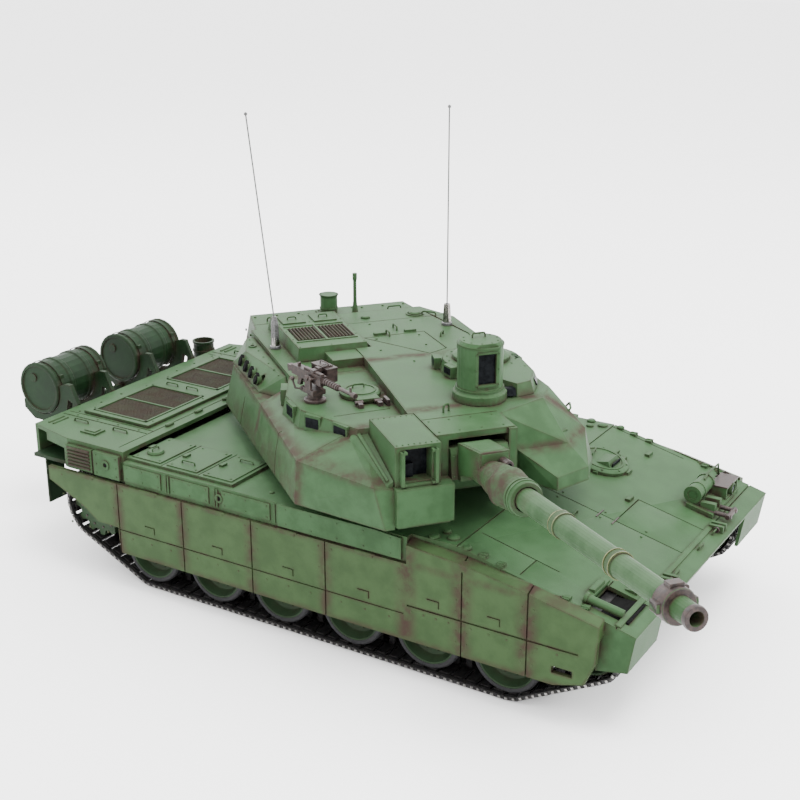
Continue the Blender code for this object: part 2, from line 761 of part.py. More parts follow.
def make_commander_station(turret):
    foot = ROOF_Z + GAP
    ring = circle(CUPOLA_AT, 26, 28)
    nose = [(46, -92), (58, -89), (68, -73)]
    body = hull(
        [(x, y, foot) for x, y in ring + nose]
        + [(x, y, 154.5) for x, y in circle(CUPOLA_AT, 24, 28) + [(47, -89), (57, -86), (66, -71)]]
    )
    cuts = [
        rod("Z", SIGHT_AT, 16.6, 140, 160, 28),
        rod("Z", CUPOLA_AT, 16.5, 150, 160, 28),
    ]
    part("commander_cupola", [body], turret, GREEN, cuts)
    hinge = pivot("commander_hatch_pivot", turret, (CUPOLA_AT[0], CUPOLA_AT[1] + 20, 156.4))
    lid = turned([(-1.6, 0), (-1.6, 18), (0.6, 18), (1.8, 15), (1.8, 0)], "Z", (0, -20), 24)
    lug = box((-6, 6), (-6, 1.2), (-1.3, 1.5))
    part("commander_hatch", [lid, lug], hinge)
    head = pivot("commander_sight_pivot", turret, (*SIGHT_AT, 0))
    drum = turned(
        [(foot, 0), (foot, 16), (152, 16), (152.6, 14.6), (155, 13.4), (181, 13.4)]
        + [(183, 12), (183, 0)],
        "Z",
        (0, 0),
        28,
    )
    cuts = [
        box((-20, 20), (-20, -11.2), (155.5, 190)),
        box((-5.5, 5.5), (-14, -8.6), (158.5, 177)),
    ]
    part("commander_sight", [drum], head, GREEN, cuts)


def make_gunner_station(turret):
    hinge = pivot("gunner_hatch_pivot", turret, (-34.5, -57.5, STATION_Z + 2))
    lid = turned([(-1.5, 0), (-1.5, 12.5), (0.4, 12.5), (1.4, 11), (1.4, 0)], "Z", (0, 16), 22)
    lug = box((-7, 7), (-1.2, 8), (-1.3, 1.3))
    part("gunner_hatch", [lid, lug], hinge)


MG_AT = (-63.0, -43.0)
MG_Z = 156.0
MG_TURN_DEG = 17.0


def make_machine_gun(turret):
    mount = pivot("mg_mount_pivot", turret, (*MG_AT, 0), (0, 0, MG_TURN_DEG))
    post = rod("Z", (0, 0), 4.6, STATION_Z + GAP, 147, 16)
    saddle = box((-4.6, 4.6), (-5, 9), (146, 149))
    cheeks = [box((x, x + 1.4), (-2.2, 4), (148, MG_Z + 1.2)) for x in (-4.6, 3.2)]
    part("mg_cradle", [saddle, post] + cheeks, mount, BROWN)
    gun = pivot("machine_gun_pivot", mount, (0, 0, MG_Z))
    receiver = box((-2.4, 2.4), (-10, 22), (-3.0, 2.8))
    grip = box((-1.6, 1.6), (20, 28), (-1.5, 1.2))
    jacket = rod("Y", (0, 0.2), 1.7, -26, -8, 12)
    barrel = rod("Y", (0, 0.2), 1.15, -43, -24, 10)
    feed = box((2.0, 12), (-1.5, 2.5), (3.2, 5.4))
    neck = box((-1.6, 4), (-1.5, 2.5), (2.0, 4.6))
    ammo = box((5.6, 13), (-5, 12), (-4, 4.6))
    shapes = [receiver, grip, jacket, barrel, neck, feed, ammo]
    part("machine_gun", shapes, gun, BROWN)


# Gun. Lengths run forward from the trunnion, along -Y.


def make_gun(turret):
    cradle = pivot("gun_pivot", turret, TRUNNION, (-ELEVATION_DEG, 0, 0))
    rotor = hull(
        [(x, y, -9) for x in (-12.6, 21.6) for y in (-37.5, -8)]
        + [(x, y, z) for x in (-12.6, 21.6) for y, z in ((-37.5, 5.4), (-36.4, 8.4), (-30, 8.6))]
        + [(x, -8, 5.4) for x in (-12.6, 21.6)]
    )
    neck = box((-9, 9), (-42, -34), (-9, 5.4))
    head = hull(
        [(x, -39.6, z) for x in (-9.4, 8.6) for z in (-6, 12.4)]
        + [(x, -65, z) for x in (-6.8, 10.4) for z in (-1.5, 12.8)]
        + [(x, -42, 12.8) for x in (-9.4, 8.6)]
    )
    sleeve_line = [(-36, 0), (-36, 7.7), (-64, 7.9), (-74, 9.4), (-87, 10.4), (-97, 9.0), (-102, 8.6)]
    sleeve_line += [(-103, 9.5), (-108, 9.5), (-110.2, 8.8), (-110.2, 0)]
    sleeve = turned(sleeve_line, "Y", (0, 0), 24)
    coax = rod("Y", (6.3, 6.4), 2.2, -71.5, -60, 12)
    cuts = [
        rod("Y", (0, 0), 4.9, -70, 0, 16),
        rod("Y", (0, 0), 6.8, -120, -51.5, 24),
        rod("Y", (6.3, 6.4), 1.2, -75, -68, 8),
    ]
    part("gun_mantlet", [rotor, neck, head, sleeve, coax], cradle, GREEN, cuts)
    line = [(-18, 0), (-18, 4.5), (-61, 4.5), (-61, 6.2), (-112, 6.2)]
    for middle, radius in ((-150.8, 6.1), (-207.0, 5.8)):
        line += [(middle + 3, radius), (middle + 3, radius + 0.5), (middle - 3, radius + 0.5)]
        line += [(middle - 3, radius)]
    line += [(-249.7, 5.6), (-249.7, 8.0), (-259, 8.0), (-259, 5.2), (-271.7, 5.0)]
    line += [(-271.7, 3.2), (-257, 3.2), (-257, 0)]
    barrel = turned(line, "Y", (0, 0), 24)
    lug = box((-9.6, 9.6), (-257.5, -251), (-1.8, 1.8))
    part("gun_barrel", [barrel, lug], cradle, GREEN, [rod("Y", (0, 0), 3.2, -280, -257, 24)])


# Assembly


def centre_on_floor(root):
    """Moves the whole tank so that the middle of its box's floor is the scene's origin."""
    bpy.context.view_layer.update()
    graph = bpy.context.evaluated_depsgraph_get()
    low, high = Vector((9, 9, 9)), Vector((-9, -9, -9))
    for obj in PARTS.objects:
        if obj.type != "MESH":
            continue
        shown = obj.evaluated_get(graph)
        for vertex in shown.data.vertices:
            spot = shown.matrix_world @ vertex.co
            low = Vector(map(min, low, spot))
            high = Vector(map(max, high, spot))
    root.location = (-(low.x + high.x) / 2, -(low.y + high.y) / 2, -low.z)


def build():
    root = pivot("tank_root", None, (0, 0, 0))
    make_lower_hull(root)
    make_upper_hull(root)
    for side, word in ((-1, "right"), (1, "left")):
        make_skirt(root, f"side_skirt_{word}", side)
        smooth(make_drum(root, f"fuel_drum_{word}", side))
    make_engine_deck(root)
    make_drum_rack(root)
    make_exhaust_cap(root)
    make_headlamps(root)
    make_driver_hatch(root)
    make_inside(root)
    make_running_gear(root)
    turret = pivot("turret_pivot", root, (0, 0, 0), (0, 0, TRAVERSE_DEG))
    make_turret_shell(turret)
    make_gunner_sight(turret)
    make_vent_housing(turret)
    make_launcher(turret, "smoke_launcher_right", -1, 66.0, 4)
    make_launcher(turret, "smoke_launcher_left", 1, 72.3, 6.4)
    make_antenna(turret, "antenna_right", (-60, 65, STATION_Z + GAP), 163, (-13.2, 4.6))
    make_antenna(turret, "antenna_left", (60, 60, ROOF_Z + GAP), 162, (0, 0))
    make_sensor_mast(turret)
    make_commander_station(turret)
    make_gunner_station(turret)
    make_machine_gun(turret)
    make_gun(turret)
    centre_on_floor(root)


clear_scene()
PARTS = named_collection("rc_tank")
TOOLS = named_collection("shaping_tools")
TOOLS.hide_render = True
build()
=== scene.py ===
"""Looks for the radio-controlled battle tank: paint, wear, panel lines, tracks and fittings.

Shapes are given in millimetres in the frame of what carries them (hull, turret, gun or
machine gun) and moved into the model's own frame, in metres, when a piece is made.
"""

import itertools
import math

import bmesh
import bpy
from mathutils import Matrix, Vector


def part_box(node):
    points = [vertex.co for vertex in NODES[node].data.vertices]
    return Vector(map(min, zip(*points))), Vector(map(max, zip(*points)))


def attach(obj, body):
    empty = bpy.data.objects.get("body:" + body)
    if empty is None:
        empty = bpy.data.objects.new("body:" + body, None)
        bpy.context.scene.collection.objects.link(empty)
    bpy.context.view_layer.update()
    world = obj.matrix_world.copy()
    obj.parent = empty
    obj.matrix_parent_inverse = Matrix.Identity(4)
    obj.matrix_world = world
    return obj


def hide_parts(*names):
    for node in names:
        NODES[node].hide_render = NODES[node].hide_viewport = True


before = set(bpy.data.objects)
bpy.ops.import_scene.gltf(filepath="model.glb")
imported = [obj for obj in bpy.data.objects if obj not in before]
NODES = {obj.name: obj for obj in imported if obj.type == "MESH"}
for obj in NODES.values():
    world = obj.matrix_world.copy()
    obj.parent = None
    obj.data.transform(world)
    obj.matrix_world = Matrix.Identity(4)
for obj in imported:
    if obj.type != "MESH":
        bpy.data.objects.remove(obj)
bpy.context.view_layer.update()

# Frames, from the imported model

low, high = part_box("upper_hull")
HULL_AT = Vector(((low[0] + high[0]) / 2, (low[1] + high[1]) / 2, 0.0))
TRAVERSE = math.radians(-39.5)
ELEVATION = math.radians(5.97)
TRUNNION = Vector((0.0, -100.0, 126.3))
MG_AT = Vector((-63.0, -43.0, 0.0))
MG_TURN = math.radians(17.0)
GLACIS_SLOPE = 0.2423
PIGMENT = 0.205
SKY_STRENGTH = 3.5
FLOOR_WHITE = 0.96
LENS_MM = 61.25
CAMERA_FROM_HULL = Vector((-0.6983, -0.4327, 0.4157))
CAMERA_LOOKS = Vector((0.8026, 0.4907, -0.3392))

HULL = Matrix.Translation(HULL_AT) @ Matrix.Scale(0.001, 4)
TURRET = HULL @ Matrix.Rotation(TRAVERSE, 4, "Z")
GUN = TURRET @ Matrix.Translation(TRUNNION) @ Matrix.Rotation(-ELEVATION, 4, "X")
MG_MOUNT = TURRET @ Matrix.Translation(MG_AT) @ Matrix.Rotation(MG_TURN, 4, "Z")
SIGHT_PIVOT = TURRET @ Matrix.Translation((25, -85, 0))
CUPOLA = (46, -36)
DRIVER = (
    HULL
    @ Matrix.Translation((69.5, -125.0, 89.0 + GLACIS_SLOPE * -16.0))
    @ Matrix.Rotation(math.atan(GLACIS_SLOPE), 4, "X")
)

WHEEL_Y = (117.5, 65.8, 15.5, -36.3, -87.7, -138.3)
WHEEL_Z = 25.5
SPROCKET = (163.0, 47.5)
IDLER = (-187.0, 46.0)
UP = (0, 0, 1)
OUT = (1, 0, 0)
SKIRT_FACE = 115.8
ROOF_Z = 147
BUSTLE_Z = 141
LINKS = 96
TEETH = 13
SEAMS_Y = (133.6, 81.0, 27.7, -25.7, -80.3, -116.0, -156.0)


def glacis_z(y):
    return 89.0 + GLACIS_SLOPE * (y + 109.0)


# Materials


class Nodes:
    """A short way to wire a material's nodes."""

    def __init__(self, name):
        self.material = bpy.data.materials.new(name)
        self.material.use_nodes = True
        self.tree = self.material.node_tree
        self.shader = self.tree.nodes["Principled BSDF"]

    def add(self, kind, **settings):
        node = self.tree.nodes.new(kind)
        for key, value in settings.items():
            setattr(node, key, value)
        return node

    def put(self, socket, value):
        if isinstance(value, bpy.types.NodeSocket):
            self.tree.links.new(value, socket)
        else:
            socket.default_value = value

    def math(self, operation, a, b=0.0, c=0.0):
        node = self.add("ShaderNodeMath", operation=operation)
        for socket, value in zip(node.inputs, (a, b, c)):
            self.put(socket, value)
        return node.outputs[0]

    def ramp(self, value, low, high, out_low=0.0, out_high=1.0):
        node = self.add("ShaderNodeMapRange", interpolation_type="SMOOTHSTEP")
        for socket, item in zip(node.inputs, (value, low, high, out_low, out_high)):
            self.put(socket, item)
        return node.outputs[0]

    def mix(self, amount, a, b):
        node = self.add("ShaderNodeMix", data_type="RGBA")
        self.put(node.inputs[0], amount)
        self.put(node.inputs[6], a)
        self.put(node.inputs[7], b)
        return node.outputs[2]

    def place(self, matrix):
        """The point being shaded, in millimetres of a frame."""
        back = matrix.inverted()
        turn = back.to_euler()
        spot = self.add("ShaderNodeTexCoord").outputs["Object"]
        node = self.add("ShaderNodeMapping")
        self.put(node.inputs["Vector"], spot)
        node.inputs["Location"].default_value = back.to_translation()
        node.inputs["Rotation"].default_value = turn
        node.inputs["Scale"].default_value = back.to_scale()
        return node.outputs[0]

    def noise(self, spot, scale, detail=3.0, roughness=0.55):
        node = self.add("ShaderNodeTexNoise")
        self.put(node.inputs["Vector"], spot)
        node.inputs["Scale"].default_value = scale
        node.inputs["Detail"].default_value = detail
        node.inputs["Roughness"].default_value = roughness
        return node.outputs[0]

    def bump(self, height, strength, distance):
        node = self.add("ShaderNodeBump")
        self.put(node.inputs["Height"], height)
        node.inputs["Strength"].default_value = strength
        node.inputs["Distance"].default_value = distance
        self.put(self.shader.inputs["Normal"], node.outputs[0])

    def crevice(self, reach):
        # Ambient occlusion: high in corners and crevices, where shade falls; what it darkens is
        # painted shade.
        node = self.add("ShaderNodeAmbientOcclusion", samples=6)
        node.inputs["Distance"].default_value = reach
        return self.math("SUBTRACT", 1.0, node.outputs["AO"])

    def edges(self, radius):
        bevel = self.add("ShaderNodeBevel", samples=4)
        bevel.inputs["Radius"].default_value = radius
        dot = self.add("ShaderNodeVectorMath", operation="DOT_PRODUCT")
        self.put(dot.inputs[0], bevel.outputs[0])
        self.put(dot.inputs[1], self.add("ShaderNodeNewGeometry").outputs["Normal"])
        return self.math("SUBTRACT", 1.0, dot.outputs["Value"])


def deepened(colour):
    """The paint colours are stated as they look under the studio light; this is the pigment."""
    return tuple(PIGMENT * c for c in colour[:3]) + (1,)


def stripe(n, coordinate, spots, width):
    """A soft band round each of some heights along one axis."""
    found = None
    for spot in spots:
        far = n.math("ABSOLUTE", n.math("SUBTRACT", coordinate, spot))
        found = far if found is None else n.math("MINIMUM", found, far)
    return n.ramp(found, 0.0, width, 1.0, 0.0)


def paint(
    name,
    matrix=HULL,
    seams=(),
    light=(0.12, 0.285, 0.112, 1),
    dark=(0.075, 0.2, 0.066, 1),
    # brown for seam and edge grime, also laid as painted shade in corners and crevices
    grime_and_shade_brown=(0.13, 0.078, 0.058, 1),
    # strength of the brown in corners and crevices: grime and painted shade
    crevice_grime_and_shade=0.95,
    edge_dirt=0.8,
    roughness=0.5,
):
    """Satin paint, mottled, with brown airbrushed along seams and edges; the same brown darkens
    corners and crevices found by ambient occlusion, partly grime and partly painted shade, and
    faces that look up are painted lighter, a painted highlight from the light above.
    """
    light, dark, grime_and_shade_brown = (deepened(colour) for colour in (light, dark, grime_and_shade_brown))
    n = Nodes(name)
    spot = n.place(matrix)
    split = n.add("ShaderNodeSeparateXYZ")
    n.put(split.inputs[0], spot)
    broad = n.noise(spot, 0.028, 2.0)
    cloudy = n.noise(spot, 0.11, 4.0, 0.6)
    speck = n.noise(spot, 1.7, 3.0, 0.7)
    fine = n.noise(spot, 4.5, 2.0, 0.6)
    tone = n.math("MULTIPLY_ADD", cloudy, 0.55, n.math("MULTIPLY", broad, 0.45))
    colour = n.mix(n.ramp(tone, 0.36, 0.64), dark, light)
    # A paler green, for the painted highlight on top faces and for the pale flecks.
    lit_top_and_fleck_green = [c * 1.22 + 0.008 for c in light[:3]] + [1]
    # Faces that look up are painted lighter as the overhead light falls on them: a painted
    # highlight.
    up = n.add("ShaderNodeSeparateXYZ")
    n.put(up.inputs[0], n.add("ShaderNodeNewGeometry").outputs["Normal"])
    colour = n.mix(n.ramp(up.outputs[2], 0.6, 1.0, 0.0, 0.3), colour, lit_top_and_fleck_green)
    wear = n.math("MULTIPLY", n.ramp(n.edges(0.0026), 0.004, 0.12), edge_dirt)
    # Corners and crevices found by ambient occlusion go towards the brown: partly grime, partly
    # painted shade.
    corner = n.math("MULTIPLY", n.ramp(n.crevice(0.009), 0.1, 0.55), crevice_grime_and_shade)
    stain_and_shade = n.math("MAXIMUM", wear, corner)
    for axis, spots, width, amount in seams:
        band = n.math("MULTIPLY", stripe(n, split.outputs[axis], spots, width), amount)
        stain_and_shade = n.math("MAXIMUM", stain_and_shade, band)
    ragged = n.ramp(n.noise(spot, 0.1, 4.0, 0.65), 0.36, 0.62, 0.3, 1.0)
    stain_and_shade = n.math("MULTIPLY", stain_and_shade, ragged)
    # Seam and edge stains together with the painted corner shade, in brown.
    colour = n.mix(stain_and_shade, colour, grime_and_shade_brown)
    fleck = n.math("MULTIPLY", n.ramp(speck, 0.68, 0.8), 0.12)
    colour = n.mix(fleck, colour, lit_top_and_fleck_green)
    n.shader.inputs["Specular IOR Level"].default_value = 0.1
    n.put(n.shader.inputs["Base Color"], colour)
    gloss = n.math("MULTIPLY_ADD", cloudy, 0.16, roughness - 0.08)
    n.put(n.shader.inputs["Roughness"], n.math("MULTIPLY_ADD", stain_and_shade, 0.22, gloss))
    n.bump(n.math("MULTIPLY_ADD", speck, 0.6, fine), 0.16, 0.00022)
    return n.material


def grey(value):
    return (value, value, value, 1)


def plain(
    name, light, dark, roughness=0.5, metallic=0.0, scale=0.6, bump=0.2, dust=0.0, sheen=0.4
):
    """A mottled finish for rubber, metal and glass."""
    n = Nodes(name)
    spot = n.place(HULL)
    cloudy = n.noise(spot, scale, 4.0, 0.62)
    fine = n.noise(spot, 5.0, 2.0)
    colour = n.mix(n.ramp(cloudy, 0.35, 0.65), dark, light)
    if dust:
        film = n.math("MULTIPLY", n.ramp(n.edges(0.0009), 0.02, 0.25), dust)
        colour = n.mix(film, colour, (0.1, 0.08, 0.055, 1))
    n.put(n.shader.inputs["Base Color"], colour)
    n.put(n.shader.inputs["Roughness"], n.math("MULTIPLY_ADD", cloudy, 0.24, roughness - 0.12))
    n.shader.inputs["Metallic"].default_value = metallic
    n.shader.inputs["Specular IOR Level"].default_value = sheen
    n.bump(fine, bump, 0.0002)
    return n.material


SKIRT_PAINT = paint(
    "skirt_paint",
    HULL,
    [(1, SEAMS_Y[:4], 7.5, 0.85), (1, SEAMS_Y[4:], 10.0, 1.0), (2, (73.6, 26.0), 4.0, 0.6)],
    light=(0.13, 0.25, 0.088, 1),
    dark=(0.092, 0.19, 0.06, 1),
)
TURRET_PAINT = paint(
    "turret_paint",
    TURRET,
    [(1, (-93.0, 3.0), 8.0, 0.95), (2, (125.4,), 4.5, 0.9), (0, (-90.0, 90.0), 3.0, 0.5)],
)
PLAIN_PAINT = paint("fitting_paint", HULL, (), edge_dirt=0.35)
DARK_PAINT = paint(
    "rear_fitting_paint",
    HULL,
    (),
    light=(0.03, 0.092, 0.032, 1),
    dark=(0.017, 0.055, 0.018, 1),
    edge_dirt=0.3,
)
WHEEL_PAINT = paint(
    "wheel_paint",
    HULL,
    (),
    light=(0.075, 0.155, 0.07, 1),
    dark=(0.045, 0.1, 0.042, 1),
    crevice_grime_and_shade=0.6,
    edge_dirt=0.15,
)
GUN_PAINT = paint(
    "gun_paint", GUN, [(1, (-120.0, -150.8, -207.0), 7.0, 0.35)], light=(0.155, 0.32, 0.14, 1)
)
SLEEVE_PAINT = paint(
    "mantlet_paint",
    GUN,
    [(1, (-66.0, -76.0, -86.0, -95.0), 15.0, 1.0)],
    grime_and_shade_brown=(0.13, 0.09, 0.065, 1),
)
MESH_PAINT = paint(
    "grille_paint",
    HULL,
    (),
    light=(0.12, 0.13, 0.07, 1),
    dark=(0.065, 0.055, 0.038, 1),
    roughness=0.6,
)
GUNMETAL = plain(
    "gun_brown",
    light=(0.034, 0.022, 0.019, 1),
    dark=(0.014, 0.0095, 0.009, 1),
    roughness=0.42,
    metallic=0.2,
    scale=0.5,
    dust=0.05,
    sheen=0.3,
)
RUBBER = plain(
    "rubber_black",
    light=(0.012, 0.012, 0.013, 1),
    dark=(0.005, 0.005, 0.006, 1),
    roughness=0.66,
    scale=0.7,
    bump=0.35,
    sheen=0.25,
)
TRACK = plain(
    "track_black",
    light=(0.02, 0.019, 0.019, 1),
    dark=(0.007, 0.007, 0.0075, 1),
    roughness=0.42,
    metallic=0.4,
    scale=0.5,
    bump=0.3,
    dust=0.06,
    sheen=0.3,
)
PIN = plain("pin_steel", (0.3, 0.29, 0.28, 1), (0.12, 0.115, 0.11, 1), 0.34, 1.0, 1.5, 0.1)
CHROME = plain("aerial_chrome", (0.3, 0.285, 0.265, 1), (0.1, 0.095, 0.09, 1), 0.2, 1.0, 0.9, 0.05)
WIRE = plain("aerial_wire", grey(0.1), grey(0.05), 0.35, 0.5, 1.0, 0.05)
BRASS = plain("band_brass", (0.1, 0.11, 0.04, 1), (0.05, 0.06, 0.02, 1), 0.36, 0.4, 1.0, 0.1)
GLASS = plain(
    "sight_glass",
    light=(0.006, 0.007, 0.008, 1),
    dark=(0.002, 0.0025, 0.003, 1),
    roughness=0.3,
    scale=0.3,
    bump=0.02,
    sheen=0.02,
)
# Near black put into bores, tubes, slots and recesses: painted shadow.
SHADOW = plain("painted_shadow_black", grey(0.006), grey(0.003), 0.9, 0.0, 0.6, 0.2, sheen=0.05)
LAMP = plain("lamp_glass", (0.12, 0.13, 0.14, 1), (0.03, 0.035, 0.04, 1), 0.12, 0.2, 0.8, 0.05)


# Shapes, in millimetres of a piece's frame


def along(axis, flat, height):
    a, b = flat
    return {"X": (height, a, b), "Y": (a, height, b), "Z": (a, b, height)}[axis]


def ring(profile):
    """An outline closed back to its start."""
    return profile + [profile[0]]


def circle(count, radius, centre=(0, 0), start=0.0):
    """Points evenly spaced on a circle, the first one start steps round."""
    for k in range(count):
        a = 2 * math.pi * (k + start) / count
        yield centre[0] + radius * math.cos(a), centre[1] + radius * math.sin(a)


class Piece:
    """One visible object, gathered from simple solids and then bevelled."""

    def __init__(self, name, body, matrix, material, bevel=0.25, side=1, replaces=()):
        self.name = name
        self.body = body
        self.matrix = matrix
        self.material = material
        self.bevel = bevel
        self.side = side
        self.replaced = replaces
        self.shape = bmesh.new()

    def box(self, x, y, z, turn=None):
        size = (x[1] - x[0], y[1] - y[0], z[1] - z[0])
        middle = Vector(((x[0] + x[1]) / 2, (y[0] + y[1]) / 2, (z[0] + z[1]) / 2))
        matrix = Matrix.Translation(middle)
        if turn:
            matrix = matrix @ Matrix.Rotation(math.radians(turn[1]), 4, turn[0])
        matrix = matrix @ Matrix.Diagonal((*size, 1))
        bmesh.ops.create_cube(self.shape, size=1.0, matrix=matrix)
        return self

    def rod(self, start, end, radius, end_radius=None, steps=16):
        start, end = Vector(start), Vector(end)
        run = end - start
        turn = run.to_track_quat("Z", "Y").to_matrix().to_4x4()
        bmesh.ops.create_cone(
            self.shape,
            cap_ends=True,
            segments=steps,
            radius1=radius,
            radius2=radius if end_radius is None else end_radius,
            depth=run.length,
            matrix=Matrix.Translation((start + end) / 2) @ turn,
        )
        return self

    def bolt(self, at, way, radius=0.9, height=0.7, steps=8):
        at, way = Vector(at), Vector(way).normalized()
        self.rod(at - way * 0.3, at + way * height * 0.6, radius, radius, steps)
        return self.rod(at + way * height * 0.6, at + way * height, radius, radius * 0.6, steps)

    def ball(self, at, radius):
        bmesh.ops.create_icosphere(
            self.shape, subdivisions=2, radius=radius, matrix=Matrix.Translation(at)
        )
        return self

    def prism(self, outline, axis, low, high):
        shape = self.shape
        face = shape.faces.new([shape.verts.new(along(axis, p, low)) for p in outline])
        grown = bmesh.ops.extrude_face_region(shape, geom=[face])
        risen = [item for item in grown["geom"] if isinstance(item, bmesh.types.BMVert)]
        bmesh.ops.translate(shape, verts=risen, vec=along(axis, (0, 0), high - low))
        return self

    def hull(self, points):
        shape = bmesh.new()
        for point in points:
            shape.verts.new(point)
        bmesh.ops.convex_hull(shape, input=shape.verts)
        bmesh.ops.dissolve_limit(shape, angle_limit=0.001, verts=shape.verts, edges=shape.edges)
        return self.join(shape)

    def join(self, shape):
        mesh = bpy.data.meshes.new("spare")
        shape.to_mesh(mesh)
        shape.free()
        self.shape.from_mesh(mesh)
        bpy.data.meshes.remove(mesh)
        return self

    def lathe(self, profile, axis, centre, steps=40):
        shape = bmesh.new()
        spots = [shape.verts.new(along(axis, (r, 0), h)) for h, r in profile]
        lines = [shape.edges.new(pair) for pair in zip(spots, spots[1:])]
        bmesh.ops.spin(
            shape,
            geom=spots + lines,
            cent=(0, 0, 0),
            axis=along(axis, (0, 0), 1),
            angle=2 * math.pi,
            steps=steps,
            use_merge=True,
        )
        bmesh.ops.remove_doubles(shape, verts=shape.verts, dist=0.001)
        bmesh.ops.translate(shape, verts=shape.verts, vec=along(axis, centre, 0))
        return self.join(shape)

    def collar(self, axis, centre, ends, radii, steps):
        """A ring of square section, between two heights and two radii."""
        (low, high), (inner, outer) = ends, radii
        section = [(low, inner), (low, outer), (high, outer), (high, inner)]
        return self.lathe(ring(section), axis, centre, steps)

    def knob(self, axis, centre, heights, radii, steps):
        """A round boss: its foot, its shoulder and its top, which is narrower."""
        (foot, shoulder, top), (wide, narrow) = heights, radii
        profile = [(foot, 0), (foot, wide), (shoulder, wide), (top, narrow), (top, 0)]
        return self.lathe(profile, axis, centre, steps)

    def bolts(self, xs, ys, zs, way, radius, height):
        """A bolt at each crossing of the x, y and z given."""
        for at in itertools.product(*(v if isinstance(v, tuple) else (v,) for v in (xs, ys, zs))):
            self.bolt(at, way, radius, height)
        return self

    def tube(self, path, radius, steps=8):
        """A round bar bent along a line of points."""
        path = [Vector(p) for p in path]
        rings = []
        for i, point in enumerate(path):
            before, after = path[max(i - 1, 0)], path[min(i + 1, len(path) - 1)]
            turn = (after - before).to_track_quat("Z", "Y")
            spots = (point + turn @ Vector((*spot, 0)) for spot in circle(steps, radius))
            rings.append([self.shape.verts.new(spot) for spot in spots])
        for one, two in zip(rings, rings[1:]):
            for k in range(steps):
                quad = (one[k], one[(k + 1) % steps], two[(k + 1) % steps], two[k])
                self.shape.faces.new(quad)
        self.shape.faces.new(rings[0][::-1])
        self.shape.faces.new(rings[-1])
        return self

    def handle(self, start, end, way, height, radius=0.7):
        """A grab handle: a bar that rises, runs across and comes down."""
        start, end, way = Vector(start), Vector(end), Vector(way).normalized()
        top = way * height
        run = (end - start).normalized() * min(1.4, (end - start).length / 4)
        path = [start - way, start + top * 0.6, start + top + run * 0.35]
        path += [start + top * 1.08 + run, end + top * 1.08 - run, end + top - run * 0.35]
        path += [end + top * 0.6, end - way]
        return self.tube(path, radius)

    def done(self, smooth=35):
        shape = self.shape
        if self.side < 0:
            bmesh.ops.scale(shape, vec=(-1, 1, 1), verts=shape.verts)
        bmesh.ops.transform(shape, matrix=self.matrix, verts=shape.verts)
        bmesh.ops.recalc_face_normals(shape, faces=shape.faces)
        mesh = bpy.data.meshes.new(self.name)
        shape.to_mesh(mesh)
        shape.free()
        mesh.materials.append(self.material)
        obj = bpy.data.objects.new(self.name, mesh)
        bpy.context.scene.collection.objects.link(obj)
        mesh.shade_smooth()
        mesh.set_sharp_from_angle(angle=math.radians(smooth))
        if self.bevel:
            soften(obj, self.bevel)
        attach(obj, self.body)
        if self.replaced:
            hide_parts(*self.replaced)
        return obj


def on_hull(name, material, bevel, side=1):
    return Piece(name, "hull", HULL, material, bevel, side)


def on_turret(name, material, bevel, side=1):
    return Piece(name, "turret", TURRET, material, bevel, side)


def on_mantlet(name, material, bevel):
    return Piece(name, "gun_mantlet", GUN, material, bevel)


def soften(obj, width_mm, segments=2):
    edge = obj.modifiers.new("rounded_edges", "BEVEL")
    edge.width = width_mm * 0.001
    edge.segments = segments
    edge.limit_method = "ANGLE"
    edge.angle_limit = math.radians(32)
    edge.use_clamp_overlap = True
    edge.harden_normals = True


def carve(node, body, cutter):
    """Cuts a piece's shapes out of a CAD node as it is shown."""
    tool = cutter.done()
    tool.modifiers.clear()
    tool.hide_render = True
    tool.hide_viewport = False
    tool.display_type = "WIRE"
    step = NODES[node].modifiers.new("carved", "BOOLEAN")
    step.object = tool
    step.operation = "DIFFERENCE"
    step.solver = "EXACT"
    step.use_self = True
    return tool


def dress(node, material, bevel=0.3):
    obj = NODES[node]
    for slot in obj.material_slots:
        slot.material = material
    if bevel:
        soften(obj, bevel)


def sides():
    return ((-1, "right"), (1, "left"))


# Tracks and wheels


def tangent_loop(circles):
    """The line of a belt round circles taken in turn: points with their travel direction."""
    count = len(circles)
    joins = []
    for i in range(count):
        (ax, ay, ar), (bx, by, br) = circles[i], circles[(i + 1) % count]
        run = Vector((bx - ax, by - ay))
        unit = run.normalized()
        lean = (ar - br) / run.length
        right = Vector((unit.y, -unit.x))
        out = unit * lean + right * math.sqrt(1 - lean * lean)
        joins.append((Vector((ax, ay)) + out * ar, Vector((bx, by)) + out * br))
    line = []
    for i in range(count):
        start, end = joins[i]
        line += [start.lerp(end, k / 40) for k in range(40)]
        cx, cy, r = circles[(i + 1) % count]
        centre = Vector((cx, cy))
        one = math.atan2(end.y - cy, end.x - cx)
        two = math.atan2(joins[(i + 1) % count][0].y - cy, joins[(i + 1) % count][0].x - cx)
        while two < one:
            two += 2 * math.pi
        for k in range(24):
            a = one + (two - one) * k / 24
            line.append(centre + Vector((math.cos(a), math.sin(a))) * r)
    return line


def even_steps(line, count):
    """Points evenly spaced round a closed line, each with its direction."""
    closed = line + [line[0]]
    lengths = [(b - a).length for a, b in zip(closed, closed[1:])]
    step = sum(lengths) / count
    found, at, i = [], 0.0, 0
    for k in range(count):
        goal = k * step
        while at + lengths[i] < goal:
            at += lengths[i]
            i += 1
        a, b = closed[i], closed[i + 1]
        share = (goal - at) / lengths[i]
        found.append((a.lerp(b, share), (b - a).normalized()))
    return found


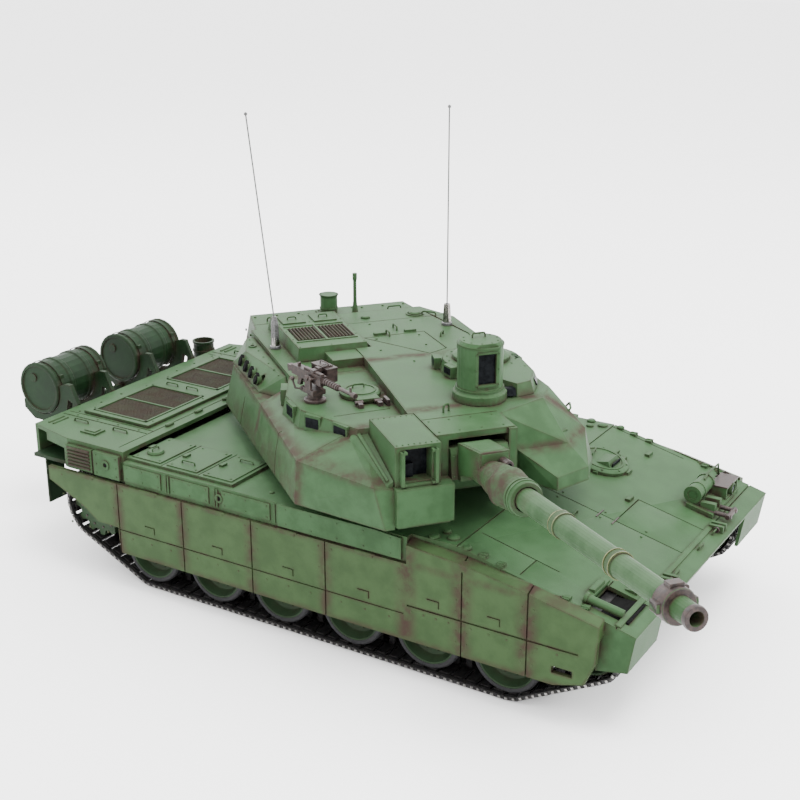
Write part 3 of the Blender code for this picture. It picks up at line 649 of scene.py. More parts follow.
def block(piece, spot, way, x, run, rise):
    """A block on a track link: across the track, along it, and out from it."""
    out = Vector((way.y, -way.x))
    v = []
    for a in x:
        for b, c in ((run[0], rise[0]), (run[1], rise[0]), (run[1], rise[1]), (run[0], rise[1])):
            p = spot + way * b + out * c
            v.append(piece.shape.verts.new((a, p.x, p.y)))
    walls = [(k, k + 4, (k + 1) % 4 + 4, (k + 1) % 4) for k in range(4)]
    for face in [(0, 1, 2, 3), (7, 6, 5, 4)] + walls:
        piece.shape.faces.new([v[k] for k in face])


def make_track(side, word):
    circles = [
        (WHEEL_Y[0], WHEEL_Z, 21.8),
        (*SPROCKET, 22.3),
        (*IDLER, 16.8),
        (WHEEL_Y[-1], WHEEL_Z, 21.8),
    ]
    spots = even_steps(tangent_loop(circles), LINKS)
    links = Piece(f"track_links_{word}", "hull", HULL, TRACK, 0.18, side, (f"track_belt_{word}",))
    pins = on_hull(f"track_pins_{word}", PIN, 0, side)
    for spot, way in spots:
        for x in ((73.0, 87.8), (90.4, 105.2)):
            block(links, spot, way, x, (-3.7, 3.7), (0.5, 2.5))
            pad = (x[0] + 1.6, x[1] - 1.6)
            block(links, spot, way, pad, (-3.1, 3.1), (2.4, 3.65))
            block(links, spot, way, (x[0] + 2.2, x[1] - 2.2), (-2.6, 2.6), (0.12, 0.6))
        block(links, spot, way, (87.0, 91.2), (-4.4, 4.4), (0.7, 2.1))
        block(links, spot, way, (88.0, 90.2), (-1.9, 1.9), (-4.6, 1.0))
        for x in ((71.6, 74.4), (103.8, 106.4)):
            block(links, spot, way, x, (-4.6, 4.6), (0.6, 3.1))
        for x in ((71.0, 71.9), (106.1, 107.1)):
            block(pins, spot, way, x, (1.5, 3.1), (1.1, 2.6))
            block(pins, spot, way, x, (-3.1, -1.5), (1.1, 2.6))
    links.done()
    pins.done()


def make_wheel(index, side, word):
    name = f"{word}_{index}"
    body = f"road_wheel_{name}"
    centre = (WHEEL_Y[6 - index], WHEEL_Z)
    disc = Piece(f"wheel_disc_{name}", body, HULL, WHEEL_PAINT, 0.2, side, (f"road_wheel_{name}",))
    line = [(75, 3.2), (75, 18.8), (84, 18.8), (84.8, 15.4), (92.2, 15.4), (93, 18.8)]
    line += [(103.9, 18.8), (104.3, 18.3), (104.1, 17.5), (101.0, 16.4), (98.6, 15.2), (97.9, 13.8)]
    line += [(98.0, 10.8), (99.6, 8.4), (101.6, 7.0), (103.4, 6.4), (104.2, 5.0), (104.2, 3.2)]
    disc.lathe(ring(line), "X", centre, 48)
    disc.knob("X", centre, (97, 103.9, 104.4), (3.2, 2.6), 24)
    for y, z in circle(10, 12.4, centre):
        disc.bolt((98.0, y, z), OUT, 0.85, 1.0, 6)
    for y, z in circle(6, 4.9, centre, 0.5):
        disc.bolt((103.8, y, z), OUT, 0.6, 0.7, 6)
    disc.done()
    tyre = Piece(f"wheel_tyre_{name}", body, HULL, RUBBER, 0, side)
    for a, b in ((74.2, 84.6), (92.6, 104.4)):
        line = [(a, 18.5), (a, 20.6), (a + 0.9, 21.5), (b - 0.9, 21.5), (b, 20.6), (b, 18.5)]
        tyre.lathe(ring(line), "X", centre, 64)
    tyre.done()


def make_sprocket(side, word):
    node = f"sprocket_{word}"
    trim = Piece(f"sprocket_bolts_{word}", node, HULL, GUNMETAL, 0.15, side)
    for y, z in circle(TEETH, 16.0, SPROCKET, 0.5):
        trim.bolt((102.8, y, z), OUT, 0.9, 0.6, 6)
    trim.knob("X", SPROCKET, (101, 102.6, 103.4), (7.5, 6.2), 32)
    trim.collar("X", SPROCKET, (101, 102.4), (10.8, 12.8), 40)
    trim.done()


def make_idler(side, word):
    node = f"idler_{word}"
    disc = Piece(f"idler_disc_{word}", node, HULL, WHEEL_PAINT, 0.25, side, (node,))
    line = [(74, 3.4), (74, 16.2), (85.5, 16.2), (86.2, 11.4), (92.0, 11.4), (92.7, 16.2)]
    line += [(102.6, 16.2), (103, 15.6), (102.8, 14.6), (99.6, 13.2), (98.4, 10.6), (99.6, 7.4)]
    line += [(102.2, 6.2), (102.8, 5.0), (102.8, 3.4)]
    disc.lathe(ring(line), "X", IDLER, 48)
    disc.knob("X", IDLER, (99.4, 102.6, 103.0), (3.4, 2.6), 24)
    for y, z in circle(8, 9.0, IDLER):
        disc.bolt((98.6, y, z), OUT, 0.8, 1.0, 6)
    disc.done()


for side, word in sides():
    make_track(side, word)
    make_sprocket(side, word)
    make_idler(side, word)
    for index in range(1, 7):
        make_wheel(index, side, word)


# CAD nodes that are shown: welded, carved, rounded and painted

FINISHES = {
    "lower_hull": DARK_PAINT,
    "drum_rack": DARK_PAINT,
    "exhaust_cap": DARK_PAINT,
    "battery_pack": RUBBER,
    "control_board": plain("board_green", (0.02, 0.2, 0.08, 1), (0.01, 0.12, 0.05, 1)),
    "drive_gearbox": PIN,
    "turret_shell": TURRET_PAINT,
    "gunner_sight": TURRET_PAINT,
    "vent_housing": TURRET_PAINT,
    "commander_cupola": TURRET_PAINT,
    "mg_cradle": GUNMETAL,
    "machine_gun": GUNMETAL,
    "gun_mantlet": SLEEVE_PAINT,
    "gun_barrel": GUN_PAINT,
}
PAIRS = {
    "side_skirt": SKIRT_PAINT,
    "fuel_drum": DARK_PAINT,
    "smoke_launcher": TURRET_PAINT,
    "antenna": WIRE,
    "sprocket": WHEEL_PAINT,
}
for stem, finish in PAIRS.items():
    for _, word in sides():
        FINISHES[f"{stem}_{word}"] = finish

for name, node in NODES.items():
    if node.hide_render:
        continue
    weld = node.modifiers.new("welded", "WELD")
    weld.merge_threshold = 0.00001


# Stage: floor, light and camera


def stage_plane(name, size, at):
    mesh = bpy.data.meshes.new(name)
    shape = bmesh.new()
    bmesh.ops.create_grid(shape, x_segments=1, y_segments=1, size=size)
    shape.to_mesh(mesh)
    shape.free()
    obj = bpy.data.objects.new(name, mesh)
    obj.location = at
    bpy.context.scene.collection.objects.link(obj)
    return obj


def area_light(name, at, target, size, power):
    lamp = bpy.data.lights.new(name, "AREA")
    lamp.shape = "DISK"
    lamp.size = size
    lamp.energy = power
    obj = bpy.data.objects.new(name, lamp)
    obj.location = at
    obj.rotation_euler = (Vector(target) - Vector(at)).to_track_quat("-Z", "Y").to_euler()
    bpy.context.scene.collection.objects.link(obj)


def make_stage():
    floor = stage_plane("studio_floor", 6.0, (0, 0, 0))
    pale = bpy.data.materials.new("floor_white")
    pale.use_nodes = True
    shader = pale.node_tree.nodes["Principled BSDF"]
    shader.inputs["Base Color"].default_value = grey(FLOOR_WHITE)
    shader.inputs["Roughness"].default_value = 0.9
    shader.inputs["Specular IOR Level"].default_value = 0.1
    floor.data.materials.append(pale)
    world = bpy.data.worlds.new("studio_air")
    world.use_nodes = True
    sky = world.node_tree.nodes["Background"]
    sky.inputs["Color"].default_value = grey(1)
    sky.inputs["Strength"].default_value = SKY_STRENGTH
    bpy.context.scene.world = world
    middle = (0.04, 0.0, 0.06)
    area_light("key_light", (-0.2, -0.6, 2.0), middle, 1.0, 46.0)
    area_light("front_light", (0.9, -1.6, 1.1), middle, 1.0, 26.0)
    area_light("back_light", (0.5, 1.6, 1.3), middle, 1.0, 14.0)


def make_camera():
    lens = bpy.data.cameras.new("photo_camera")
    lens.lens = LENS_MM
    lens.sensor_width = 36.0
    lens.clip_start = 0.01
    lens.clip_end = 100.0
    obj = bpy.data.objects.new("photo_camera", lens)
    obj.location = HULL_AT + CAMERA_FROM_HULL
    obj.rotation_mode = "QUATERNION"
    obj.rotation_quaternion = CAMERA_LOOKS.to_track_quat("-Z", "Y")
    bpy.context.scene.collection.objects.link(obj)
    bpy.context.scene.camera = obj


make_stage()
make_camera()


# Hull details

HULL_TRIM = paint("hull_fitting_paint", HULL, (), edge_dirt=0.4, crevice_grime_and_shade=0.6)
TURRET_TRIM = paint("turret_fitting_paint", TURRET, (), edge_dirt=0.4, crevice_grime_and_shade=0.6)


def band_cut(piece, y, width, inner=1.2):
    """A groove across the sloping top band of the heavy skirts."""
    ridge = ridge_z(y)
    outline = [(116 - inner, 24), (118, 24), (118, 74.6), (111.5, ridge + 3), (106, ridge + 3)]
    outline += [(106, ridge - inner), (109.3 - 0.6 * inner, ridge - inner), (116 - inner, 73.2)]
    piece.prism(outline, "Y", y - width / 2, y + width / 2)


def ridge_z(y):
    spots = ((-197, 67), (-154, 76), (-115, 82), (-80, 85))
    for (a, low_z), (b, high_z) in zip(spots, spots[1:]):
        if y <= b:
            return low_z + (high_z - low_z) * (y - a) / (b - a)
    return 85


def make_skirts(side, word):
    node = f"side_skirt_{word}"
    cut = on_hull(f"cutter_skirt_{word}", SKIRT_PAINT, 0, side)
    for y in SEAMS_Y[:4]:
        cut.box((114.9, 118), (y - 0.45, y + 0.45), (20, 76))
    for y in SEAMS_Y[5:]:
        band_cut(cut, y, 0.9)
    carve(node, "hull", cut)
    cut = on_hull(f"cutter_ledge_{word}", SKIRT_PAINT, 0, side)
    cut.box((115.2, 118), (-79, 186), (41.6, 42.4))
    cut.box((115.0, 118), (-186, -81), (47.3, 48.4))
    for k, y in enumerate((165, 108, 54, 1, -52, -98, -136)):
        z = 49 if k < 5 else 55
        cut.box((115.3, 118), (y - 4, y + 4), (z, z + 0.8))
        cut.box((115.3, 118), (y - 4, y - 3.2), (z - 4, z))
    carve(node, "hull", cut)

    trim = on_hull(f"skirt_fittings_{word}", SKIRT_PAINT, 0.15, side)
    edges = [186] + list(SEAMS_Y[:5])
    for far, near in zip(edges, edges[1:]):
        ys = tuple(far + (near - far) * share for share in (0.2, 0.5, 0.8))
        trim.bolts(SKIRT_FACE, ys, 37.5, OUT, 0.8, 0.4)
        trim.bolts(SKIRT_FACE, (near + 4.5, far - 4.5), 69.5, OUT, 0.75, 0.4)
        trim.bolts(SKIRT_FACE, (near + 4.5, far - 4.5), 56, OUT, 0.6, 0.35)
        middle = (far + near) / 2
        trim.box((113.6, 116.3), (middle - 5.5, middle + 5.5), (71.2, 73.3))
        trim.rod((115.6, middle - 7, 73.2), (115.6, middle + 7, 73.2), 0.7)
    ys = (-84, -92, -100, -108, -122, -133, -144, -162, -174)
    trim.bolts(SKIRT_FACE, ys, 44.5, OUT, 0.8, 0.45)
    ys = (-112.5, -119.5, -152.5, -159.5)
    trim.bolts(SKIRT_FACE, ys, (34, 41, 53, 60, 67), OUT, 0.65, 0.4)
    for y in (-90, -101, -117, -129, -139, -168, -180):
        z = ridge_z(y)
        for middle in (y - 1.7, y + 1.7):
            trim.box((106.0, 110.2), (middle - 1.1, middle + 1.1), (z - 2.5, z + 1.2))
            trim.rod((108.2, middle - 1.3, z + 1), (108.2, middle + 1.3, z + 1), 1.0, steps=10)
    trim.done()


def make_side_band(side, word):
    """The upright wall between the skirt and the deck, and the boxes on it."""
    trim = on_hull(f"side_boxes_{word}", PLAIN_PAINT, 0.3, side)
    trim.box((111.6, 114.9), (132, 153.4), (75.2, 91.6))
    trim.box((111.2, 114.4), (155.4, 177.5), (75.6, 91.2))
    for y in (93.6, 91.7, 55.4, 53.5, 10.4, 8.5):
        trim.rod((114.6, y, 76), (114.6, y, 87.6), 0.7, steps=10)
    for low_y, high_y in ((14, 50), (60, 90), (98, 128)):
        trim.box((113.4, 114.8), (low_y, high_y), (76.4, 87.2))
        ys = (low_y + 2.2, (low_y + high_y) / 2, high_y - 2.2)
        trim.bolts(114.7, ys, (78.2, 85.4), OUT, 0.6, 0.4)
    trim.prism([(8, 75), (-77, 75), (-77, 88), (-60, 89.2), (8, 89.2)], "X", 112.5, 115.6)
    trim.bolts(115.4, (2, -16, -34, -52, -70), (77.2, 86.6), OUT, 0.6, 0.4)
    trim.collar("X", (52, 82), (113, 115.3), (1.6, 2.9), 20)
    trim.bolts(114.8, (134.4, 151), (77.4, 83.4, 89.4), OUT, 0.65, 0.5)
    trim.collar("X", (143, 84), (114, 115.6), (1.5, 3.2), 24)
    trim.done()
    louvres = on_hull(f"side_louvres_{word}", MESH_PAINT, 0.15, side)
    for k in range(6):
        z = 77.2 + 2.35 * k
        louvres.box((113.4, 115.3), (157, 176), (z, z + 1.3), ("Y", 18))
    louvres.box((114.5, 115.0), (131.4, 132), (76, 91))
    louvres.box((110.8, 113.6), (153.4, 155.4), (76.5, 90.5))
    louvres.done()
    dark = on_hull(f"side_ports_{word}", SHADOW, 0, side)
    dark.rod((114.6, 143, 84), (115.1, 143, 84), 1.6, steps=16)
    dark.rod((114.0, 52, 82), (114.5, 52, 82), 1.7, steps=16)
    dark.done()
    flap = on_hull(f"rear_mudflap_{word}", DARK_PAINT, 0.3, side)
    flap.prism([(212.4, 36), (213.8, 36), (213.8, 74), (212.4, 74)], "X", 83, 99)
    flap.done()


def carve_hull():
    cut = on_hull("cutter_hull_seams", PLAIN_PAINT, 0)
    seams = ((-204, -109.5, -9.0), (-204, -160, 27.0), (-160, -109.5, 104.2), (-160, -112, -86))
    for y0, y1, x in seams:
        a, b = glacis_z(y0), glacis_z(y1)
        outline = [(y0, a - 0.9), (y1, b - 0.9), (y1, b + 2), (y0, a + 2)]
        cut.prism(outline, "X", x - 0.35, x + 0.35)
    for y, x0, x1 in ((-203.6, -109, 109), (-160, -9, 27), (-146, -106, -86), (-185, -106, -70)):
        z = glacis_z(y)
        cut.box((x0, x1), (y - 0.4, y + 0.4), (z - 0.9, z + 2))
    carve("upper_hull", "hull", cut)
    cut = on_hull("cutter_deck_seams", PLAIN_PAINT, 0)
    cut.box((-114, 114), (129.0, 129.8), (88.1, 92))
    cut.box((-109, 109), (-109.4, -108.6), (88.1, 90))
    for x in (-69.4, 69.4):
        cut.box((x - 0.35, x + 0.35), (44, 129), (88.1, 91.5))
    cut.box((-110, -69), (44.2, 44.9), (88.1, 91.5))
    for side, _ in sides():
        for y in (72, 101):
            x = sorted((side * 70.5, side * 109.5))
            cut.box(x, (y - 0.35, y + 0.35), (90.1, 92))
        x = sorted((side * 79, side * 80))
        cut.box(x, (139, 213), (93.8, 96))
    cut.box((-107, 107), (137.6, 138.3), (93.8, 96))
    for x in (-74, 74):
        cut.box((x - 0.35, x + 0.35), (138, 212), (93.8, 95.5))
    carve("upper_hull", "hull", cut)
    cut = on_hull("cutter_front_recess", SHADOW, 0)
    cut.prism([(-209, 64.6), (-184, 64.6), (-184, 72), (-209, 72)], "X", -102, -76)
    carve("upper_hull", "hull", cut)


def make_deck_fittings():
    for side, word in sides():
        trim = on_hull(f"deck_fittings_{word}", HULL_TRIM, 0.2, side)
        for y0, y1 in ((47, 70), (74, 99), (103, 127)):
            trim.box((72.5, 107.5), (y0 + 0.5, y1 - 0.5), (90.5, 91.5))
            trim.bolts((75, 105), (y0 + 3, y1 - 3), 91.4, UP, 0.7, 0.5)
            trim.box((88, 93), (y1 - 4.2, y1 - 1.2), (91.3, 92.8))
        trim.knob("Z", (96, 117), (90, 92.2, 93.2), (5.4, 4.6), 32)
        trim.handle((93, 117, 93), (99, 117, 93), UP, 1.8, 0.45)
        trim.handle((80, 52, 91), (80, 62, 91), UP, 2.2, 0.5)
        trim.handle((100, 82, 91), (100, 92, 91), UP, 2.2, 0.5)
        for x, y, r in ((106, -93, 3.0), (102, -103, 3.4), (107, -114, 2.6), (97, -96, 2.4)):
            z = 88.9 if y > -109 else glacis_z(y) - 0.1
            trim.knob("Z", (x, y), (z, z + 1.1, z + 1.7), (r, r * 0.7), 24)
        for y in (-124, -135, -174, -185):
            z = glacis_z(y)
            trim.box((104, 108.8), (y - 2, y + 2), (z - 0.6, z + 1.4))
            trim.rod((107, y - 2.4, z + 1.2), (107, y + 2.4, z + 1.2), 0.8, steps=10)
        for y in (-60, -30, 20):
            trim.bolt((104, y, 89), UP, 1.6, 1.0, 12)
        for x in (84, 92):
            trim.bolt((x, -70, 89), UP, 1.2, 0.9, 12)
        trim.bolts(77, (148, 166, 184, 202), 94.4, UP, 0.8, 0.6)
        trim.handle((86, 150, 94), (86, 162, 94), UP, 2.4, 0.55)
        trim.handle((86, 184, 94), (86, 196, 94), UP, 2.4, 0.55)
        trim.box((90, 100), (165, 178), (94.2, 95.6))
        trim.box((92, 98), (167, 176), (95.4, 96.2))
        for y in (204, 208):
            trim.rod((84, y, 94.6), (98, y, 94.6), 0.8, steps=10)
        trim.done()
    trim = on_hull("deck_latches", HULL_TRIM, 0.2)
    for x, y in ((-60, 136), (-30, 136), (0, 136), (30, 136), (60, 136)):
        trim.box((x - 3, x + 3), (y - 1.2, y + 1.6), (94, 95.9))
        trim.rod((x - 4, y, 95.6), (x + 4, y, 95.6), 0.6, steps=10)
    trim.bolts((-71, -50, -30, 30, 50, 71), 206, 94.4, UP, 0.8, 0.7)
    trim.done()


def make_grilles():
    frame_piece = on_hull("grille_frames", HULL_TRIM, 0.25)
    mesh = on_hull("grille_mesh", MESH_PAINT, 0)
    for x0, x1 in ((-68, -8), (7, 67)):
        mesh.box((x0 + 1, x1 - 1), (150.5, 195), (95.3, 95.8))
        for a, b in ((x0, x0 + 1.6), (x1 - 1.6, x1)):
            frame_piece.box((a, b), (149.5, 196), (95.4, 97.1))
        for a, b in ((149.5, 151.1), (194.4, 196)):
            frame_piece.box((x0, x1), (a, b), (95.4, 97.1))
        middle = (x0 + x1) / 2
        frame_piece.box((middle - 0.8, middle + 0.8), (150, 195.6), (95.4, 96.8))
        for k in range(41):
            x = x0 + 2.4 + k * (x1 - x0 - 4.8) / 40
            mesh.box((x - 0.2, x + 0.2), (151, 194.6), (95.5, 96.1))
        for k in range(33):
            y = 152 + k * 41.6 / 32
            mesh.box((x0 + 1.5, x1 - 1.5), (y - 0.22, y + 0.22), (95.5, 96.25))
        frame_piece.bolts((x0 + 4, x1 - 4), (147, 198.4), 96.5, UP, 0.7, 0.5)
    for y in (160, 178):
        frame_piece.handle((-2, y, 96.4), (-2, y + 10, 96.4), UP, 2.0, 0.5)
    frame_piece.done()
    mesh.done()


def make_glacis():
    trim = on_hull("glacis_fittings", HULL_TRIM, 0.25)

    def on(x, y, rise=0.0):
        return (x, y, glacis_z(y) + rise)

    trim.prism(
        [(-205.5, glacis_z(-205.5) - 1), (-202.5, glacis_z(-202.5) - 1)]
        + [(-202.5, glacis_z(-202.5) + 1.1), (-205.5, glacis_z(-205.5) + 0.8)],
        "X",
        -108,
        40,
    )
    for x in (-60, -34, 6, 30):
        trim.handle(on(x - 4, -207, -1), on(x + 4, -207, -1), (0, -1, 2), 3.0, 0.6)
    for x, y in itertools.product((-5, -13), (-124, -152, -178)):
        trim.bolt(on(x, y, -0.2), (0, -0.24, 1), 0.8, 0.8)
    for x, y in ((22, -156), (53, -142), (66, -133), (88, -142), (36, -128)):
        z = glacis_z(y)
        trim.box((x - 3.4, x + 3.4), (y - 1.6, y + 1.6), (z - 0.8, z + 1.6))
    trim.rod(on(-100, -183, 2.4), on(-98, -203, 2.2), 2.4, steps=20)
    trim.rod(on(-100, -181.5, 2.4), on(-100, -183.5, 2.4), 3.0, steps=20)
    trim.box((-92, -78), (-183.6, -180), (glacis_z(-182) - 1, glacis_z(-182) + 3.4))
    trim.hull(
        [on(x, -180, z) for x in (-95, -72) for z in (-1, 2.2)]
        + [on(x, -184, z) for x in (-95, -72) for z in (-1, 1.6)]
    )
    for x in (-70, -62, -54):
        trim.box((x - 2.6, x + 2.6), (-200, -193), (glacis_z(-196) - 1, glacis_z(-196) + 1.4))
        trim.bolt(on(x, -196.5, 1.2), (0, -0.24, 1), 1.1, 0.9, 10)
    z = glacis_z(-208)
    for x in (-46, -41.2, 34, 38.8):
        trim.box((x - 1.2, x + 1.2), (-212, -203), (z - 3, z + 3.2))
    trim.handle(on(-30, -140, -0.5), on(-20, -140, -0.5), (0, -0.24, 1), 2.4, 0.6)
    trim.done()
    pin = on_hull("tow_pins", GUNMETAL, 0.2)
    for x in (-46, 34):
        pin.rod((x - 2.4, -208.5, 66.4), (x + 7.4, -208.5, 66.4), 1.3)
        pin.rod((x - 3.2, -208.5, 66.4), (x - 2.0, -208.5, 66.4), 2.0, steps=8)
    for y in (-150, -160):
        pin.box((-14.5, -3.5), (y - 0.4, y + 0.4), (glacis_z(y) - 0.4, glacis_z(y) + 0.5))
    pin.done()
    dark = on_hull("front_recess_inside", SHADOW, 0)
    dark.box((-101, -77), (-207, -185.5), (64.9, 66.0))
    dark.done()


def make_headlamps():
    trim = on_hull("headlamp_fittings", HULL_TRIM, 0.2)
    lamp = on_hull("headlamp_glass", LAMP, 0.1)
    brown = on_hull("headlamp_brackets", GUNMETAL, 0.2)
    lamp.rod((80.2, -200.0, 73.6), (80.2, -201.3, 73.6), 3.0, steps=24)
    rim = ring([(-202.2, 3.0), (-202.2, 3.7), (-199, 3.9), (-199, 3.0)])
    trim.lathe(rim, "Y", (80.2, 73.6), 24)
    trim.collar("X", (-187, 78.5), (69.6, 71.2), (3.0, 5.8), 24)
    trim.collar("X", (-187, 78.5), (46.6, 48.4), (3.0, 5.7), 24)
    trim.rod((55, -187, 78.5), (57, -187, 78.5), 5.6, steps=24)
    brown.box((69.2, 91.4), (-201.4, -189.8), (77.2, 78.1))
    for x in (48, 58):
        brown.rod((x, -196, 70), (x, -212, 69), 1.4, steps=12)
    brown.rod((45.5, -210, 69.2), (60.5, -210, 69.2), 1.6, steps=12)
    brown.tube([(92.4, -200, 66), (92.8, -200, 76), (92.8, -192, 78.6), (92.4, -186, 74)], 0.6)
    guard = [(62, -189, 72), (62, -189, 84.2), (70, -188, 85), (90, -188, 84), (92, -188, 76)]
    trim.tube(guard, 0.7)
    trim.done()
    lamp.done()
    brown.done()


def make_driver_hatch():
    trim = Piece("driver_hatch_fittings", "driver_hatch", DRIVER, HULL_TRIM, 0.2)
    glass = Piece("driver_periscope_glass", "driver_hatch", DRIVER, GLASS, 0.1)
    trim.collar("Z", (-19, 0), (2.8, 3.7), (12.4, 13.6), 40)
    trim.handle((-24, 6, 3), (-14, 8, 3), UP, 2.6, 0.55)
    for x, y in circle(8, 15.3, (-19, 0), 0.5):
        trim.bolt((x, y, 3.1), UP, 0.7, 0.5)
    glass.box((-25, -13), (-9.4, -8.6), (3.2, 5.6))
    trim.done()
    glass.done()


def make_drums():
    for side, word in sides():
        trim = on_hull(f"drum_fittings_{word}", DARK_PAINT, 0.2, side)
        for x in (15.9, 64.1):
            way = 1 if x > 40 else -1
            cap = [(x, 0), (x, 3.0), (x + way * 0.8, 3.0), (x + way * 0.8, 0)]
            trim.lathe(cap, "X", (255, 108), 20)
        trim.done()
        strap = on_hull(f"drum_straps_{word}", DARK_PAINT, 0.15, side)
        for x in (21.6, 58.4):
            strap.collar("X", (250, 101), (x - 1.3, x + 1.3), (18.2, 18.55), 48)
            strap.box((x - 1.6, x + 1.6), (233.0, 236.4), (109.5, 112))
        strap.done()
    trim = on_hull("drum_rack_bolts", DARK_PAINT, 0.15)
    for x in (-62, -28, 20, 60):
        for z in (80, 88):
            trim.bolt((x - 1.6, 224, z), (-1, 0, 0), 1.0, 0.7)
            trim.bolt((x + 1.6, 224, z), OUT, 1.0, 0.7)
        trim.box((x - 3.4, x + 3.4), (215.1, 216.6), (77.5, 93.5))
    trim.done()


def make_rear():
    """The rear plate can't be seen in the photo, so this is what such a tank has there."""
    trim = on_hull("rear_plate_fittings", DARK_PAINT, 0.3)
    for side in (-1, 1):
        x = sorted((side * 76, side * 100))
        trim.box(x, (214.6, 217.2), (77.5, 91.5))
        for z in (80.5, 84, 87.5):
            x = sorted((side * 78, side * 98))
            trim.box(x, (216.8, 218.0), (z, z + 1.4), ("X", 20))
        for z in (53, 60):
            trim.box(sorted((side * 46, side * 49)), (205.5, 213), (z - 4, z + 1))
        trim.box(sorted((side * 42, side * 53)), (205.6, 207), (47, 66))
        trim.rod((side * 43, 211, 56), (side * 52, 211, 56), 1.6, steps=14)
    trim.box((-30, 30), (205.6, 207.2), (50, 70))
    trim.bolts((-26, -9, 9, 26), 207, (53, 67), (0, 1, 0), 0.9, 0.7)
    trim.knob("Y", (0, 60), (206, 208, 209.4), (6, 4), 28)
    trim.box((-5, 5), (207, 214), (43, 49))
    trim.rod((-6, 211.5, 44), (6, 211.5, 44), 1.4, steps=12)
    trim.box((-72, 72), (214.7, 216), (88, 93.6))
    trim.bolts(tuple(range(-66, 67, 12)), 215.8, 90.8, (0, 1, 0), 0.8, 0.6)
    trim.done()
    red = plain("tail_lamp_red", (0.35, 0.02, 0.015, 1), (0.2, 0.01, 0.01, 1), 0.2, 0.0)
    lamps = on_hull("tail_lamps", red, 0.2)
    for side, _ in sides():
        lamps.rod((side * 68, 214.6, 82), (side * 68, 216.6, 82), 2.4, steps=20)
    lamps.done()
    cup = on_hull("exhaust_trim", DARK_PAINT, 0.15)
    cup.collar("Z", (88, 228), (91, 92.4), (8.0, 8.7), 32)
    cup.rod((88, 228, 86), (88, 228, 96), 4.0, 3.2, 20)
    cup.done()
    nose = on_hull("lower_hull_fittings", DARK_PAINT, 0.25)
    for x in (-46, 46):
        nose.box((x - 4, x + 4), (-199.5, -196), (52, 60))
        nose.rod((x - 5, -200, 55), (x + 5, -200, 55), 1.5, steps=12)
    for x in (-40, 0, 40):
        for y in (-140, -70, 0, 70, 140):
            nose.lathe([(30.2, 0), (30.2, 8), (31.4, 8), (31.4, 0)], "Z", (x, y), 24)
    nose.bolts((-62, 62), tuple(range(-160, 181, 20)), 31, (0, 0, -1), 1.0, 0.8)
    nose.done()
    for side, word in sides():
        stop_pads = on_hull(f"suspension_stops_{word}", DARK_PAINT, 0.2, side)
        for y in WHEEL_Y[1:]:
            stop_pads.box((67, 71.5), (y + 6, y + 14), (56, 62))
        for y in (92, -12, -112):
            stop_pads.knob("X", (y, 64), (67, 71.6, 72.4), (5, 4), 24)
        stop_pads.done()


for side, word in sides():
    make_skirts(side, word)
    make_side_band(side, word)
carve_hull()
make_deck_fittings()
make_grilles()
make_glacis()
make_headlamps()
make_driver_hatch()
make_drums()
make_rear()


# Turret details


def carve_turret():
    cut = on_turret("cutter_roof_seams", TURRET_PAINT, 0)
    plate = ((27, 4), (-3, 49), (40, 51), (41, 11), (27, 4))
    for a, b in zip(plate, plate[1:]):
        groove(cut, a, b, ROOF_Z, 0.7, 0.8)
    groove(cut, (-20, -109), (26, -109), ROOF_Z, 0.7, 0.9)
    groove(cut, (57, 96), (67, 34), ROOF_Z, 1.3, 1.2)
    groove(cut, (-4, 84), (66, 84), ROOF_Z, 0.6, 0.8)
    groove(cut, (-62, 122), (62, 122), BUSTLE_Z, 0.6, 0.8)
    groove(cut, (-62, 3.5), (-24, 3.5), BUSTLE_Z, 0.6, 0.8)
    groove(cut, (-60, -72), (-25, -70), BUSTLE_Z, 0.6, 0.8)
    carve("turret_shell", "turret", cut)
    cut = on_turret("cutter_cheek_seams", TURRET_PAINT, 0)
    cut.box((-95, -84.2), (-48.4, -47.6), (95, 130), ("Y", -4))
    cut.box((-95, -86.2), (40.6, 41.4), (95, 124), ("Y", -4))
    cut.box((84.5, 97), (-47.4, -46.6), (95, 124))
    cut.box((84.5, 97), (40.6, 41.4), (95, 122))
    carve("turret_shell", "turret", cut)


def groove(piece, start, end, z, width, depth):
    a, b = Vector(start), Vector(end)
    run = b - a
    turn = math.degrees(math.atan2(run.y, run.x))
    middle = (a + b) / 2
    half = run.length / 2
    x = (middle.x - half, middle.x + half)
    y = (middle.y - width / 2, middle.y + width / 2)
    piece.box(x, y, (z - depth, z + 4), ("Z", turn))


